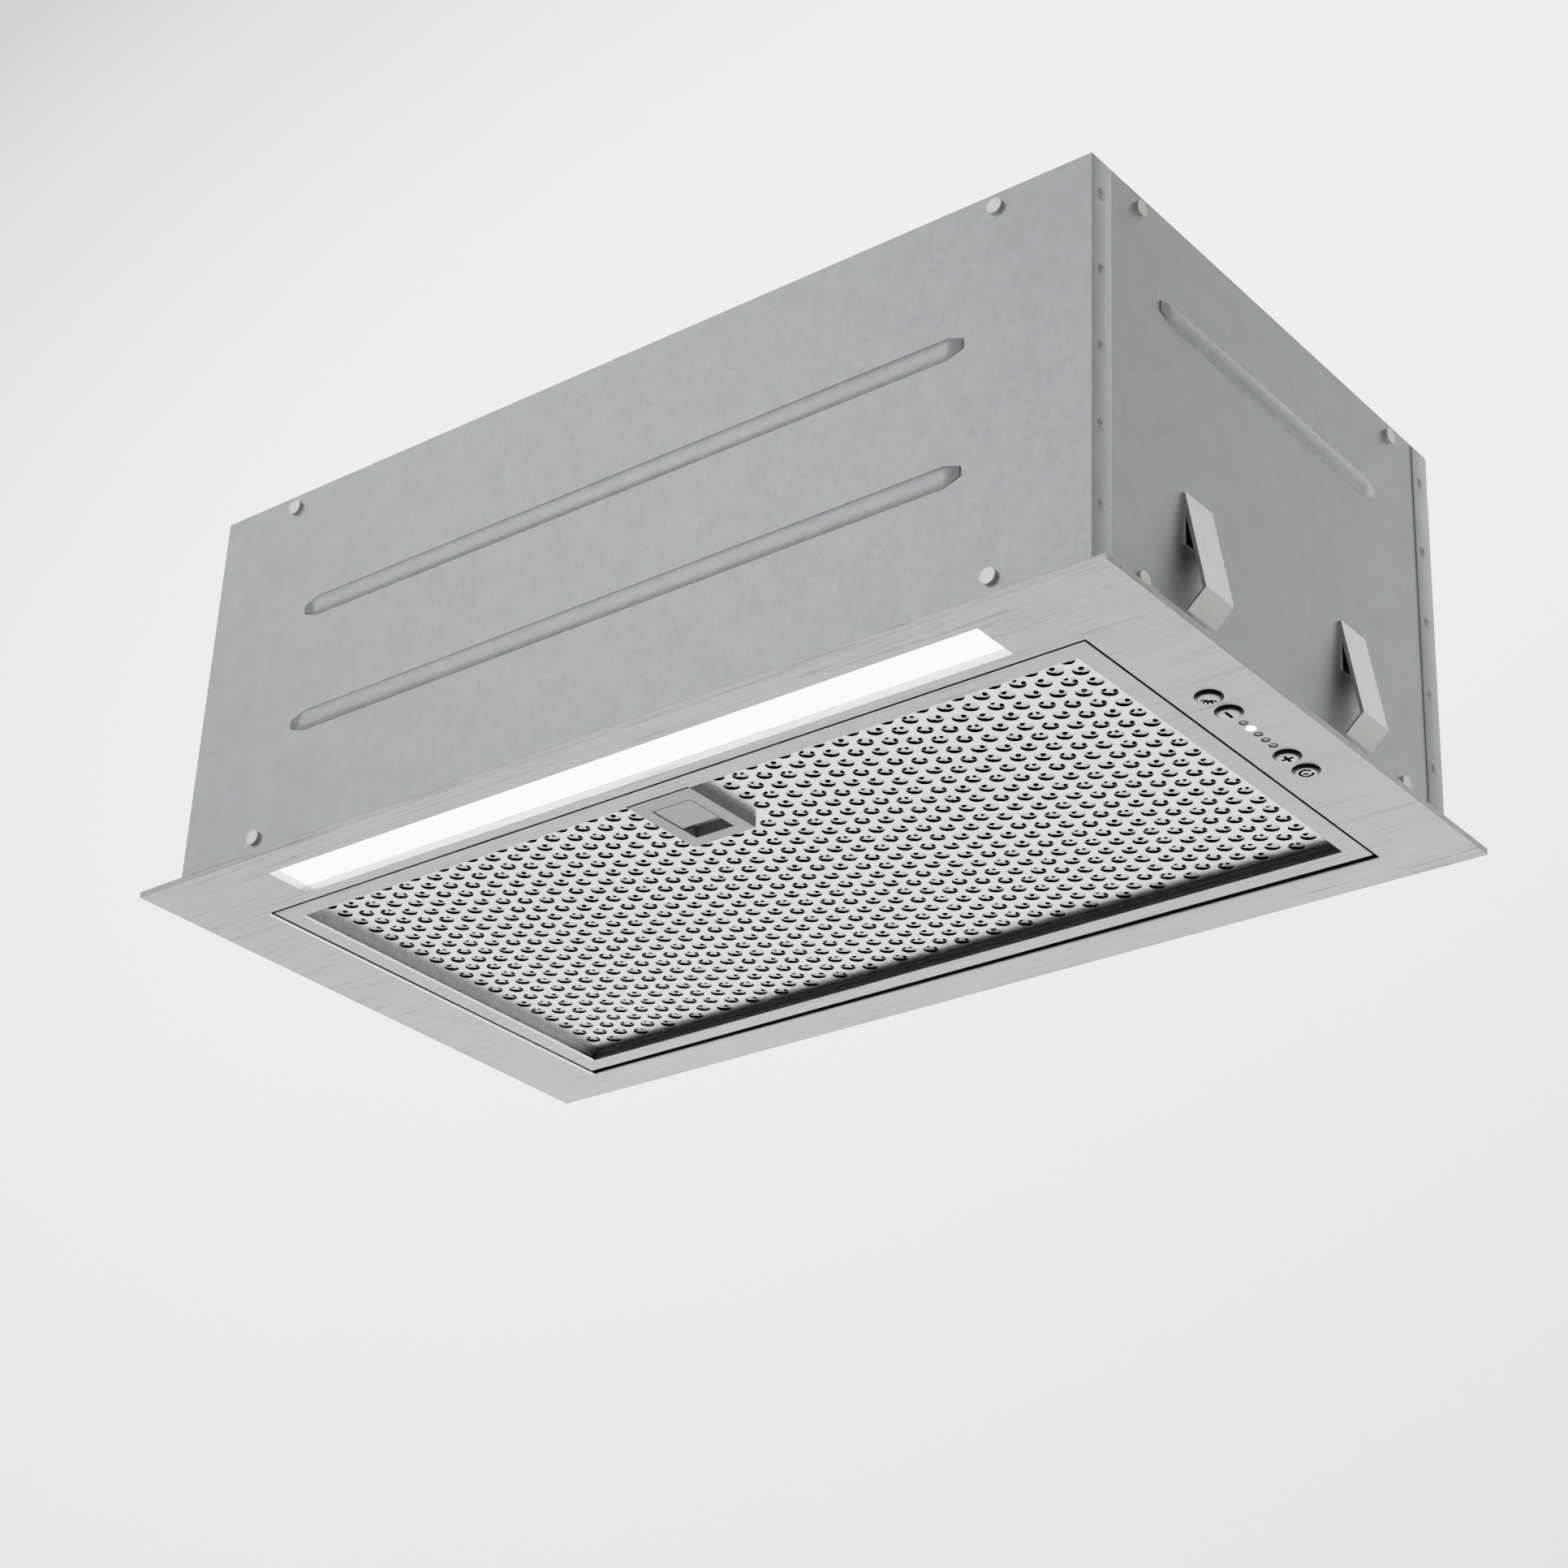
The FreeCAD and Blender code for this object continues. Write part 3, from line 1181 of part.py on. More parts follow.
TERMINAL_HALF = 28
TERMINAL_DEPTH = 30
terminal_x = grown((gland_x, gland_x), TERMINAL_HALF)
terminal_y = grown((gland_y, gland_y), TERMINAL_HALF)
terminal_z = (panel_z - TERMINAL_DEPTH, panel_z)
terminal_box = ring(terminal_x, terminal_y, terminal_z, as_size(BOX_WALL))
node("terminal_box", terminal_box)
node("terminal_cover", box(terminal_x, terminal_y, (terminal_z[0] - BOX_WALL, terminal_z[0])))
BLOCK = (30, 14, 12)
block_x = (terminal_x[0] + BOX_WALL, terminal_x[0] + BOX_WALL + BLOCK[1])
block_y = grown((gland_y, gland_y), BLOCK[0] / 2)
block_z = (terminal_z[0], terminal_z[0] + BLOCK[2])
ways = [
    rod(2, (block_x[0], block_y[0] + BLOCK[0] * (i + 0.5) / 3, block_z[0] + 6), as_size(BLOCK[1]), "x")
    for i in range(3)
]
node("terminal_block", cut(box(block_x, block_y, block_z), *ways))
GLAND_HEAD = 11
GLAND_HEAD_HEIGHT = 10
NUT_HEIGHT = 4
gland = Design("Gland", is_node=False)
place(gland.body, gland_x, gland_y, 0)
gland_sketch = gland.sketch("XZ_Plane")
outline(
    gland_sketch,
    [
        (d["cable_radius"], panel_z - NUT_HEIGHT - 3),
        (d["gland_radius"], panel_z - NUT_HEIGHT - 3),
        (d["gland_radius"], top),
        (GLAND_HEAD, top),
        (GLAND_HEAD, top + GLAND_HEAD_HEIGHT - 2),
        (GLAND_HEAD - 2, top + GLAND_HEAD_HEIGHT),
        (d["cable_radius"], top + GLAND_HEAD_HEIGHT),
    ],
)
gland.turn(gland_sketch)
nut_start = (gland_x, gland_y, panel_z - NUT_HEIGHT)
gland_nut = tube(as_size(GLAND_HEAD), d["gland_radius"], nut_start, as_size(NUT_HEIGHT))
node("cable_gland", group(gland.body, gland_nut))

DRIVER = (96, 40, 22)
driver_x = (inside_x[0] + 30, inside_x[0] + 30 + DRIVER[0])
driver_y = (inside_y[1] - 16 - DRIVER[1], inside_y[1] - 16)
driver_z = (plenum_z[1], plenum_z[1] + DRIVER[2])
node("light_driver", box(driver_x, driver_y, driver_z))

# ---- Side spring clips: a leaf on each side wall that springs out against the cabinet's cut-out ----
CLIP_HALF = 10
CLIP_LOW = 16
CLIP_HIGH = 70
CLIP_LEAF = 1
CLIP_PLACE = 60


def side_clip(side, y):
    """A leaf spring in section: foot flat on the wall, bent out at its top and back in at its toe."""
    wall, reach = float(wall_x[1]), float(d["clip_reach"])
    points = [
        (wall, CLIP_LOW + 30),
        (wall, CLIP_HIGH),
        (wall + CLIP_LEAF, CLIP_HIGH),
        (wall + reach, CLIP_LOW + 8),
        (wall + CLIP_LEAF + 0.4, CLIP_LOW),
        (wall + CLIP_LEAF, CLIP_LOW + 1),
        (wall + reach - CLIP_LEAF - 0.6, CLIP_LOW + 8),
        (wall + CLIP_LEAF, CLIP_LOW + 44),
        (wall + CLIP_LEAF, CLIP_LOW + 30),
    ]
    corners = [Vector(side * x, y - CLIP_HALF, z) for x, z in points]
    leaf = Part.Face(Part.makePolygon(corners + corners[:1]))
    return leaf.extrude(Vector(0, 2 * CLIP_HALF, 0))


clips = [side_clip(side, y) for side in (-1, 1) for y in (-CLIP_PLACE, CLIP_PLACE)]
shape_node("side_clips", Part.makeCompound(clips))

# ---- Check every piece, then write it ----
doc.recompute()
failed = [o.Label for o in doc.Objects if {"Invalid", "Error"} & set(o.State)]
failed += [n.Label for n in nodes if n.Shape.isNull() or not n.Shape.isValid()]
if failed:
    sys.exit(f"these pieces failed: {failed}")
os.makedirs("parts", exist_ok=True)
for piece in nodes:
    piece.Shape.exportStep(f"parts/{piece.Label}.step")
print(len(nodes), "pieces written")
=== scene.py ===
"""Looks of a built-in range hood, seen from below: camera, light, materials and the finer pieces.

All lengths are in metres. X runs to the right, Y to the back and Z up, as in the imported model.
"""

import json
import math
import random

import bmesh
import bpy
from mathutils import Matrix, Vector


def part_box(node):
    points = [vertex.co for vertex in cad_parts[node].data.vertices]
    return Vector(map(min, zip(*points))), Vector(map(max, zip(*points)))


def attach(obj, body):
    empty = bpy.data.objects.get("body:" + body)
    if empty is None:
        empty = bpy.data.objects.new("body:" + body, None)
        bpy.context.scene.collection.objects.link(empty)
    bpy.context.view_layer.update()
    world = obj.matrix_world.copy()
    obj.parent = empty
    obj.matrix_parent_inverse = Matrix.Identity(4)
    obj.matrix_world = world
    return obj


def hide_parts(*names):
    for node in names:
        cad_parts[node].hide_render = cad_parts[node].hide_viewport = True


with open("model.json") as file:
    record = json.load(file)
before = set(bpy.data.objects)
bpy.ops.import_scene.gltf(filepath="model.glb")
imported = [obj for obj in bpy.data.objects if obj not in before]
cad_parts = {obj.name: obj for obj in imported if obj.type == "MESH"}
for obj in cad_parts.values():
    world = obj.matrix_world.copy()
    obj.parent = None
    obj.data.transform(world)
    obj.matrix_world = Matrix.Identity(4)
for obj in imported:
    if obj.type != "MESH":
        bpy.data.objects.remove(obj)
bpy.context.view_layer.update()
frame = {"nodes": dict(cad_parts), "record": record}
nodes = frame["nodes"]
scene = bpy.context.scene
random.seed(7)


# ---------------------------------------------------------------- shader building blocks


class Paint:
    """One material and the nodes that feed it."""

    def __init__(self, name, color, roughness, metallic=0.0, **sockets):
        """Further sockets of the shader are named in lower case, such as coat_weight."""
        self.material = bpy.data.materials.new(name)
        self.material.use_nodes = True
        self.tree = self.material.node_tree
        self.shader = self.tree.nodes["Principled BSDF"]
        self.color = color
        self.shader.inputs["Base Color"].default_value = (*color, 1)
        self.shader.inputs["Roughness"].default_value = roughness
        self.shader.inputs["Metallic"].default_value = metallic
        for socket, value in sockets.items():
            label = socket.replace("_", " ").title().replace("Ior", "IOR")
            self.shader.inputs[label].default_value = value
        self.normal = None
        self.material.diffuse_color = (*color, 1)

    def node(self, kind, links=(), values=(), **settings):
        """A shader node with its inputs linked or set, and its own settings."""
        made = self.tree.nodes.new("ShaderNode" + kind)
        for key, value in settings.items():
            setattr(made, key, value)
        for socket, value in dict(values).items():
            made.inputs[socket].default_value = value
        for socket, source in dict(links).items():
            self.tree.links.new(source, made.inputs[socket])
        return made

    def place(self, scale=(1, 1, 1)):
        """Object coordinates times scale."""
        source = self.node("TexCoord").outputs["Object"]
        return self.node("Mapping", {"Vector": source}, {"Scale": scale}).outputs["Vector"]

    def noise(self, scale, detail=3, distortion=0.0):
        """Cloudy noise, with so many lumps to the metre along each axis."""
        steps = scale if isinstance(scale, tuple) else (scale,) * 3
        links = {"Vector": self.place(steps)}
        values = {"Scale": 1, "Detail": detail, "Distortion": distortion, "Roughness": 0.55}
        return self.node("TexNoise", links, values).outputs["Fac"]

    def cells(self, scale, feature="F1", output="Color"):
        """A cell pattern, with so many cells to the metre."""
        links = {"Vector": self.place((scale,) * 3)}
        made = self.node("TexVoronoi", links, {"Scale": 1, "Randomness": 1.0}, feature=feature)
        return made.outputs[output]

    def spread(self, source, low, high, start=0.0, end=1.0):
        """Maps start..end of the source to low..high."""
        values = {"From Min": start, "From Max": end, "To Min": low, "To Max": high}
        return self.node("MapRange", {"Value": source}, values).outputs["Result"]

    def math(self, operation, first, second):
        """A sum or the like of two values, each a number or a node's output."""
        made = self.node("Math", operation=operation)
        for socket, value in zip(made.inputs, (first, second)):
            if isinstance(value, (int, float)):
                socket.default_value = value
            else:
                self.tree.links.new(value, socket)
        return made.outputs[0]

    def tint(self, source, low, high):
        """Base colour from low, where the source is 0, to high, where it is 1."""
        made = self.node("Mix", {"Factor": source}, data_type="RGBA")
        made.inputs["A"].default_value = (*low, 1)
        made.inputs["B"].default_value = (*high, 1)
        return made.outputs["Result"]

    def dye(self, source):
        """Base colour straight from a node's output."""
        self.tree.links.new(source, self.shader.inputs["Base Color"])
        return self

    def shade(self, source, low, high):
        """Base colour from low to high times the paint's own colour."""
        dark = tuple(low * c for c in self.color)
        light = tuple(min(1, high * c) for c in self.color)
        return self.dye(self.tint(source, dark, light))

    def rough(self, source, low, high):
        """Roughness from low to high over the middle half of the source's range."""
        level = self.spread(source, low, high, 0.25, 0.75)
        self.tree.links.new(level, self.shader.inputs["Roughness"])
        return self

    def bump(self, source, height, strength=1.0):
        """Relief of that height in metres, on top of any relief already there."""
        links = {"Height": source}
        if self.normal:
            links["Normal"] = self.normal
        made = self.node("Bump", links, {"Strength": strength, "Distance": height})
        self.normal = made.outputs["Normal"]
        self.tree.links.new(self.normal, self.shader.inputs["Normal"])
        return self

    def soften(self, radius):
        """Rounds the sharp edges of a pressed or moulded piece in the shading."""
        made = self.node("Bevel", values={"Radius": radius}, samples=4)
        self.normal = made.outputs["Normal"]
        self.tree.links.new(self.normal, self.shader.inputs["Normal"])
        return self

    def axis_level(self, axis, start, end):
        """0 at start and 1 at end of an object coordinate, and in proportion between."""
        source = self.node("TexCoord").outputs["Object"]
        part = self.node("SeparateXYZ", {"Vector": source}).outputs[axis]
        return self.spread(part, 0, 1, start, end)

    def upright(self):
        """1 on walls and 0 on faces that look up or down."""
        facing = self.node("NewGeometry").outputs["True Normal"]
        level = self.node("SeparateXYZ", {"Vector": facing}).outputs["Z"]
        return self.math("LESS_THAN", self.math("ABSOLUTE", level, 0.0), 0.5)

    def glow(self, color, strength):
        """Makes the material give off light."""
        self.shader.inputs["Emission Color"].default_value = (*color, 1)
        self.shader.inputs["Emission Strength"].default_value = strength
        return self


def brushed(name, color, roughness, along="x", streaks=0.06, coarse=(7, 300)):
    """Satin steel with a straight grain along one axis and soft, slightly wavy streaks.

    streaks says how far they change the tone, and coarse how many there are to the metre, along the
    grain and across it.
    """
    paint = Paint(name, color, roughness, 1.0).soften(0.0003)
    grain = tuple(14 if axis == along else 1900 for axis in "xyz")
    band = tuple(coarse[0] if axis == along else coarse[1] for axis in "xyz")
    fine = paint.noise(grain, 2)
    wavy = paint.spread(paint.noise(band, 4, 0.9), 0, 1, 0.3, 0.46)
    cloud = paint.spread(paint.noise(5, 2), 0, 1, 0.3, 0.7)
    hair = paint.spread(fine, 0, 1, 0.25, 0.75)
    mixed = paint.math("ADD", paint.math("MULTIPLY", wavy, 0.5), paint.math("MULTIPLY", cloud, 0.25))
    mixed = paint.math("ADD", mixed, paint.math("MULTIPLY", hair, 0.25))
    # Single darker strokes, which stand together in groups.
    marks = paint.spread(paint.noise(tuple(1.6 * b for b in band), 3, 0.5), 0, 1, 0.57, 0.66)
    groups = paint.spread(paint.noise(9, 2), 0, 1, 0.44, 0.6)
    mixed = paint.math("SUBTRACT", mixed, paint.math("MULTIPLY", marks, groups))
    paint.shade(mixed, 1 - 1.6 * streaks, 1 + 0.4 * streaks)
    smudges = paint.math("MULTIPLY", paint.noise(38, 3), 0.4)
    worn = paint.math("ADD", paint.math("MULTIPLY", fine, 0.6), smudges)
    paint.rough(worn, roughness - 0.05, roughness + 0.05)
    return paint.bump(fine, 0.00003, 0.5)


def moulded(name, color, roughness):
    """Injection-moulded plastic: fine spark texture, faint flow clouds."""
    paint = Paint(name, color, roughness).soften(0.0004)
    paint.shade(paint.noise(22, 3), 0.9, 1.1)
    paint.rough(paint.noise(60, 3), roughness - 0.06, roughness + 0.08)
    return paint.bump(paint.noise(2200, 2), 0.00003, 0.6)


# ---------------------------------------------------------------- materials


def make_paints():
    """Every finish by name. Most are named after a slot of the record."""
    paints = {}

    paints["stainless"] = brushed("stainless", (0.325, 0.325, 0.321), 0.34, "x", 0.26, (13, 330))

    # Bright on its face, with a painted shade that makes the walls of its holes nearly black.
    sheet = Paint("filter_sheet", (0.95, 0.95, 0.95), 0.32, 1.0)
    mottle = sheet.spread(sheet.noise(600, 4), 0.76, 1.04, 0.33, 0.62)
    wall_shade = sheet.math("SUBTRACT", 1, sheet.math("MULTIPLY", sheet.upright(), 0.93))
    sheet.shade(sheet.math("MULTIPLY", mottle, wall_shade), 0.0, 1.0).rough(sheet.noise(900, 2), 0.26, 0.4)
    paints["filter_sheet"] = sheet.bump(sheet.noise(1100, 3), 0.00006, 0.5)

    layer = Paint("filter_layer", (0.76, 0.76, 0.76), 0.42, 1.0)
    layer.shade(layer.noise(800, 4), 0.7, 1.15).rough(layer.noise(700, 2), 0.36, 0.5)
    paints["filter_layer"] = layer.bump(layer.noise(1500, 2), 0.00005, 0.5)

    # Painted shade: the aluminium mesh is made nearly black, for the shade deep inside the filter.
    mesh = Paint("aluminium_mesh", (0.09, 0.09, 0.09), 0.5, 1.0)
    mesh.shade(mesh.noise(180, 3), 0.6, 1.0).rough(mesh.noise(400, 2), 0.3, 0.48)
    paints["aluminium_mesh"] = mesh.bump(mesh.noise(900, 2), 0.00008, 0.5)

    zinc = Paint("galvanised", (0.4, 0.41, 0.42), 0.42, 0.9).soften(0.0004)
    flakes = zinc.node("RGBToBW", {"Color": zinc.cells(120)}).outputs[0]
    zinc.shade(flakes, 0.94, 1.05).rough(zinc.noise(300, 2), 0.42, 0.48)
    paints["galvanised"] = zinc.bump(zinc.noise(1200, 2), 0.00002, 0.5)

    enamel = Paint("white_enamel", (0.88, 0.88, 0.87), 0.28, coat_weight=0.3)
    enamel.shade(enamel.noise(30, 3), 0.96, 1.02).rough(enamel.noise(200, 2), 0.22, 0.36)
    paints["white_enamel"] = enamel.bump(enamel.noise(500, 2), 0.00004, 0.4)

    screw = Paint("zinc_screw", (0.68, 0.67, 0.62), 0.3, 1.0)
    screw.shade(screw.noise(500, 3), 0.8, 1.08).rough(screw.noise(900, 2), 0.22, 0.42)
    paints["zinc_screw"] = screw.bump(screw.noise(2500, 2), 0.00003, 0.5)

    foam = Paint("seal_foam", (0.012, 0.012, 0.013), 0.9, specular_ior_level=0.1)
    pores = foam.cells(1300, output="Distance")
    paints["seal_foam"] = foam.shade(pores, 0.5, 1.5).bump(pores, 0.0003)

    diffuser = Paint("diffuser", (0.95, 0.95, 0.95), 0.35)
    diffuser.shade(diffuser.noise(300, 2), 0.98, 1.0)
    diffuser.bump(diffuser.noise(1500, 2), 0.00003, 0.4)
    paints["diffuser"] = diffuser.glow((1, 0.995, 0.985), 11.0)

    board = Paint("circuit_board", (0.02, 0.13, 0.07), 0.35, coat_weight=0.4)
    traces = board.cells(420, "DISTANCE_TO_EDGE", "Distance")
    lines = board.spread(traces, 1, 0, 0.03, 0.07)
    board.dye(board.tint(lines, (0.02, 0.13, 0.07), (0.05, 0.24, 0.13)))
    paints["circuit_board"] = board.bump(lines, 0.00004, 0.6)

    paints["black_plastic"] = moulded("black_plastic", (0.022, 0.022, 0.024), 0.46)
    paints["grey_plastic"] = moulded("grey_plastic", (0.27, 0.28, 0.29), 0.48)
    paints["white_plastic"] = moulded("white_plastic", (0.8, 0.8, 0.78), 0.4)

    # Painted shade: darker on all its walls, the finger pocket's and the outer ones.
    grip = Paint("latch_plastic", (0.33, 0.33, 0.325), 0.42).soften(0.0003)
    wall_shade = grip.math("SUBTRACT", 1, grip.math("MULTIPLY", grip.upright(), 0.55))
    flow = grip.spread(grip.noise(22, 3), 0.94, 1.0)
    grip.shade(grip.math("MULTIPLY", wall_shade, flow), 0.0, 1.0).rough(grip.noise(60, 3), 0.36, 0.5)
    paints["latch_plastic"] = grip.bump(grip.noise(2200, 2), 0.00002, 0.6)

    lit = Paint("lit_lens", (0.95, 0.97, 1.0), 0.2)
    lit.shade(lit.noise(900, 2), 0.97, 1.0)
    paints["lit_lens"] = lit.glow((0.93, 0.97, 1.0), 30.0)

    lens = Paint("clear_lens", (0.2, 0.205, 0.21), 0.16, coat_weight=0.5)
    paints["clear_lens"] = lens.shade(lens.noise(900, 2), 0.85, 1.1)

    paints["spring_steel"] = brushed("spring_steel", (0.5, 0.5, 0.49), 0.3, "z", 0.08)
    paints["aluminium_can"] = brushed("aluminium_can", (0.78, 0.78, 0.78), 0.32, "x", 0.05)

    casing = Paint("motor_casing", (0.16, 0.165, 0.17), 0.4, coat_weight=0.3)
    casing.shade(casing.noise(40, 3), 0.88, 1.1).rough(casing.noise(300, 2), 0.34, 0.5)
    paints["motor_casing"] = casing.bump(casing.noise(900, 2), 0.00006, 0.5)

    copper = Paint("copper", (0.62, 0.28, 0.1), 0.28, 1.0, coat_weight=0.5)
    values = {"Scale": 520, "Distortion": 1.5}
    wave = copper.node("TexWave", {"Vector": copper.place()}, values, bands_direction="X")
    wires = wave.outputs["Fac"]
    paints["copper"] = copper.shade(wires, 0.55, 1.1).bump(wires, 0.0002)

    rubber = Paint("rubber", (0.02, 0.02, 0.02), 0.75)
    rubber.shade(rubber.noise(80, 3), 0.7, 1.4)
    paints["rubber"] = rubber.bump(rubber.noise(1800, 2), 0.00005, 0.6)

    # Bright on the caps' faces, and darker up their rounded edges, which is painted shade and painted dark
    # reflection.
    cap = Paint("button_metal", (0.42, 0.42, 0.415), 0.3, 1.0)
    edge_shade = cap.axis_level("Z", -0.00412, -0.00444)
    worn = cap.spread(cap.noise(900, 3), 0.9, 1.05, 0.3, 0.7)
    cap.shade(cap.math("MULTIPLY", edge_shade, worn), 0.03, 1.0).rough(cap.noise(700, 2), 0.24, 0.38)
    paints["button_metal"] = cap.bump(cap.noise(3000, 2), 0.00001, 0.5)

    # Painted highlight: steel made near-white, far lighter than the plate, for bright lines along rolled
    # edges.
    edge_highlight = Paint("rolled_edge_highlight", (0.95, 0.95, 0.945), 0.3, 1.0)
    edge_highlight.shade(edge_highlight.noise((600, 30, 600), 2), 0.9, 1.05).rough(edge_highlight.noise(700, 2), 0.2, 0.32)
    paints["rolled_edge_highlight"] = edge_highlight.bump(edge_highlight.noise((900, 60, 900), 2), 0.00003, 0.4)

    # Painted shade and a mottled painted reflection of the mesh, for the recess's left wall.
    margin = Paint("shaded_margin", (0.42, 0.42, 0.425), 0.5, 1.0)
    margin.shade(margin.noise(900, 4), 0.45, 1.5).rough(margin.noise(700, 2), 0.4, 0.6)
    paints["shaded_margin"] = margin.bump(margin.noise(1100, 3), 0.00008, 0.6)

    # Black print for the icons, also used for the lines of painted shadow round the latch.
    ink = Paint("ink_and_shadow_lines", (0.004, 0.004, 0.004), 0.6, specular_ior_level=0.0)
    paints["ink_and_shadow_lines"] = ink.shade(ink.noise(2000, 2), 0.8, 1.3)
    return paints


paints = make_paints()
SLOT_OF = {entry["node"]: entry["material_slot"] for entry in frame["record"]["subparts"]}
SPECIAL = {"filter_front_sheet": "filter_sheet"}

# Each CAD piece wears the paint named after its slot in the record, or the one SPECIAL gives it.
for label, piece in nodes.items():
    finish = paints[SPECIAL.get(label, SLOT_OF[label])].material
    piece.data.materials.clear()
    piece.data.materials.append(finish)


# ---------------------------------------------------------------- mesh building blocks


def add_piece(name, verts, faces, finish, body, smooth=False, welded=0.0):
    """A mesh that moves with a body and wears one of the paints; welded is how near points merge."""
    mesh = bpy.data.meshes.new(name)
    mesh.from_pydata(verts, [], faces)
    bm = bmesh.new()
    bm.from_mesh(mesh)
    if welded:
        bmesh.ops.remove_doubles(bm, verts=bm.verts, dist=welded)
    bmesh.ops.recalc_face_normals(bm, faces=bm.faces)
    bm.to_mesh(mesh)
    bm.free()
    for face in mesh.polygons:
        face.use_smooth = smooth
    mesh.materials.append(paints[finish].material)
    piece = bpy.data.objects.new(name, mesh)
    scene.collection.objects.link(piece)
    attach(piece, body)
    return piece


def thicken(piece, thickness, offset=0.0):
    """Gives a sheet its thickness, to both sides, or to one where the offset is 1 or -1."""
    wall = piece.modifiers.new("thickness", "SOLIDIFY")
    wall.thickness = thickness
    wall.offset = offset
    wall.use_even_offset = False


def lathe(profile, centre, steps):
    """Vertices and faces of a profile of (radius, z) turned about a vertical axis through centre."""
    verts, faces = [], []
    for radius, z in profile:
        for i in range(steps):
            a = 2 * math.pi * i / steps
            verts.append((centre[0] + radius * math.cos(a), centre[1] + radius * math.sin(a), z))
    for r in range(len(profile) - 1):
        for i in range(steps):
            j = (i + 1) % steps
            faces.append((r * steps + i, r * steps + j, (r + 1) * steps + j, (r + 1) * steps + i))
    last = (len(profile) - 1) * steps
    faces.append(tuple(range(steps)))
    faces.append(tuple(last + i for i in range(steps)))
    return verts, faces


def sweep_x(section, start, end, taper):
    """A closed (y, z) section swept along X, and drawn in over the taper at both ends."""
    mid_y, mid_z = (sum(p[i] for p in section) / len(section) for i in (0, 1))
    tip = 0.45
    stations = [(start, tip), (start + taper, 1.0), (end - taper, 1.0), (end, tip)]
    verts, faces, n = [], [], len(section)
    for x, share in stations:
        verts += [(x, mid_y + (y - mid_y) * share, mid_z + (z - mid_z) * share) for y, z in section]
    for r in range(len(stations) - 1):
        for i in range(n):
            j = (i + 1) % n
            faces.append((r * n + i, r * n + j, (r + 1) * n + j, (r + 1) * n + i))
    faces.append(tuple(range(n)))
    faces.append(tuple((len(stations) - 1) * n + i for i in range(n)))
    return verts, faces


def prism_y(section, start, end):
    """A closed (x, z) section drawn straight along Y."""
    n = len(section)
    verts = [(x, y, z) for y in (start, end) for x, z in section]
    faces = [(i, (i + 1) % n, n + (i + 1) % n, n + i) for i in range(n)]
    return verts, faces + [tuple(range(n)), tuple(range(n, 2 * n))]


def half_round(width, height, steps=8):
    """Outline of a shallow rib, as (across, out) points from edge to edge."""
    turns = [math.pi * i / steps for i in range(steps + 1)]
    return [(-width / 2 * math.cos(a), height * math.sin(a)) for a in turns]


def bar(name, low, high, finish, body, radius):
    """A straight strip between two corners, with its long edges rounded."""
    bm = bmesh.new()
    bmesh.ops.create_cube(bm, size=1)
    for v in bm.verts:
        v.co = [(low[i] + high[i]) / 2 + v.co[i] * (high[i] - low[i]) for i in range(3)]
    bmesh.ops.bevel(bm, geom=bm.edges[:], offset=radius, segments=3, profile=0.5, affect="EDGES")
    verts = [tuple(v.co) for v in bm.verts]
    bm.verts.index_update()
    faces = [tuple(v.index for v in f.verts) for f in bm.faces]
    bm.free()
    add_piece(name, verts, faces, finish, body, smooth=True)


def oval(x, y, radius, count, stretch, heading):
    """Points round (x, y); the radius is stretched along the heading."""
    cos, sin = math.cos(heading), math.sin(heading)
    points = []
    for i in range(count):
        a = 2 * math.pi * i / count
        along, across = radius * stretch * math.cos(a), radius * math.sin(a)
        points.append((x + along * cos - across * sin, y + along * sin + across * cos))
    return points


# ---------------------------------------------------------------- grease filter layers
# The mesh lies in a recess inside the rim of the filter's frame. The front sheet's round holes stand in
# columns, each half a pitch off the next. The layer behind has a pattern for each hole, and LEAN says how
# far that pattern lies to the side of its hole for each unit of depth between the two. FIRST is the middle
# of the hole at the left front.

PITCH = 0.0101
COLUMN = PITCH * math.sqrt(3) / 2
LEAN = (-1.25, 1.45)
AWAY = math.atan2(LEAN[1], LEAN[0])
RIM = 0.0092
FRAME_LOW, FRAME_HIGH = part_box("filter_frame")
RECESS_LOW = [round(edge + RIM, 6) for edge in FRAME_LOW[:2]]
RECESS_HIGH = [round(edge - RIM, 6) for edge in FRAME_HIGH[:2]]
FIRST = (RECESS_LOW[0] + 0.0097, RECESS_LOW[1] + 0.0061)

# The round holes beside each crescent slot: (degrees from AWAY, distance from the middle, radius).
DOTS = (
    ((128, 0.0028, 0.00105), (-128, 0.0028, 0.00105)),
    ((180, 0.0024, 0.0013),),
    ((128, 0.0028, 0.00105), (-168, 0.0029, 0.0010)),
    ((152, 0.0028, 0.0013),),
    ((150, 0.0030, 0.00095), (-128, 0.0028, 0.0011)),
    ((-152, 0.0028, 0.0013),),
)


def slot_outline(inner, outer, half_angle, count=9):
    """A crescent round the middle of a cell, centred on the direction AWAY."""
    turns = [2 * i / (count - 1) - 1 for i in range(count)]
    far = [(outer, AWAY + half_angle * turn) for turn in turns]
    near = [(inner + (outer - inner) * 0.6 * turn**2, AWAY - half_angle * turn) for turn in turns]
    return [(reach * math.cos(a), reach * math.sin(a)) for reach, a in far + near]


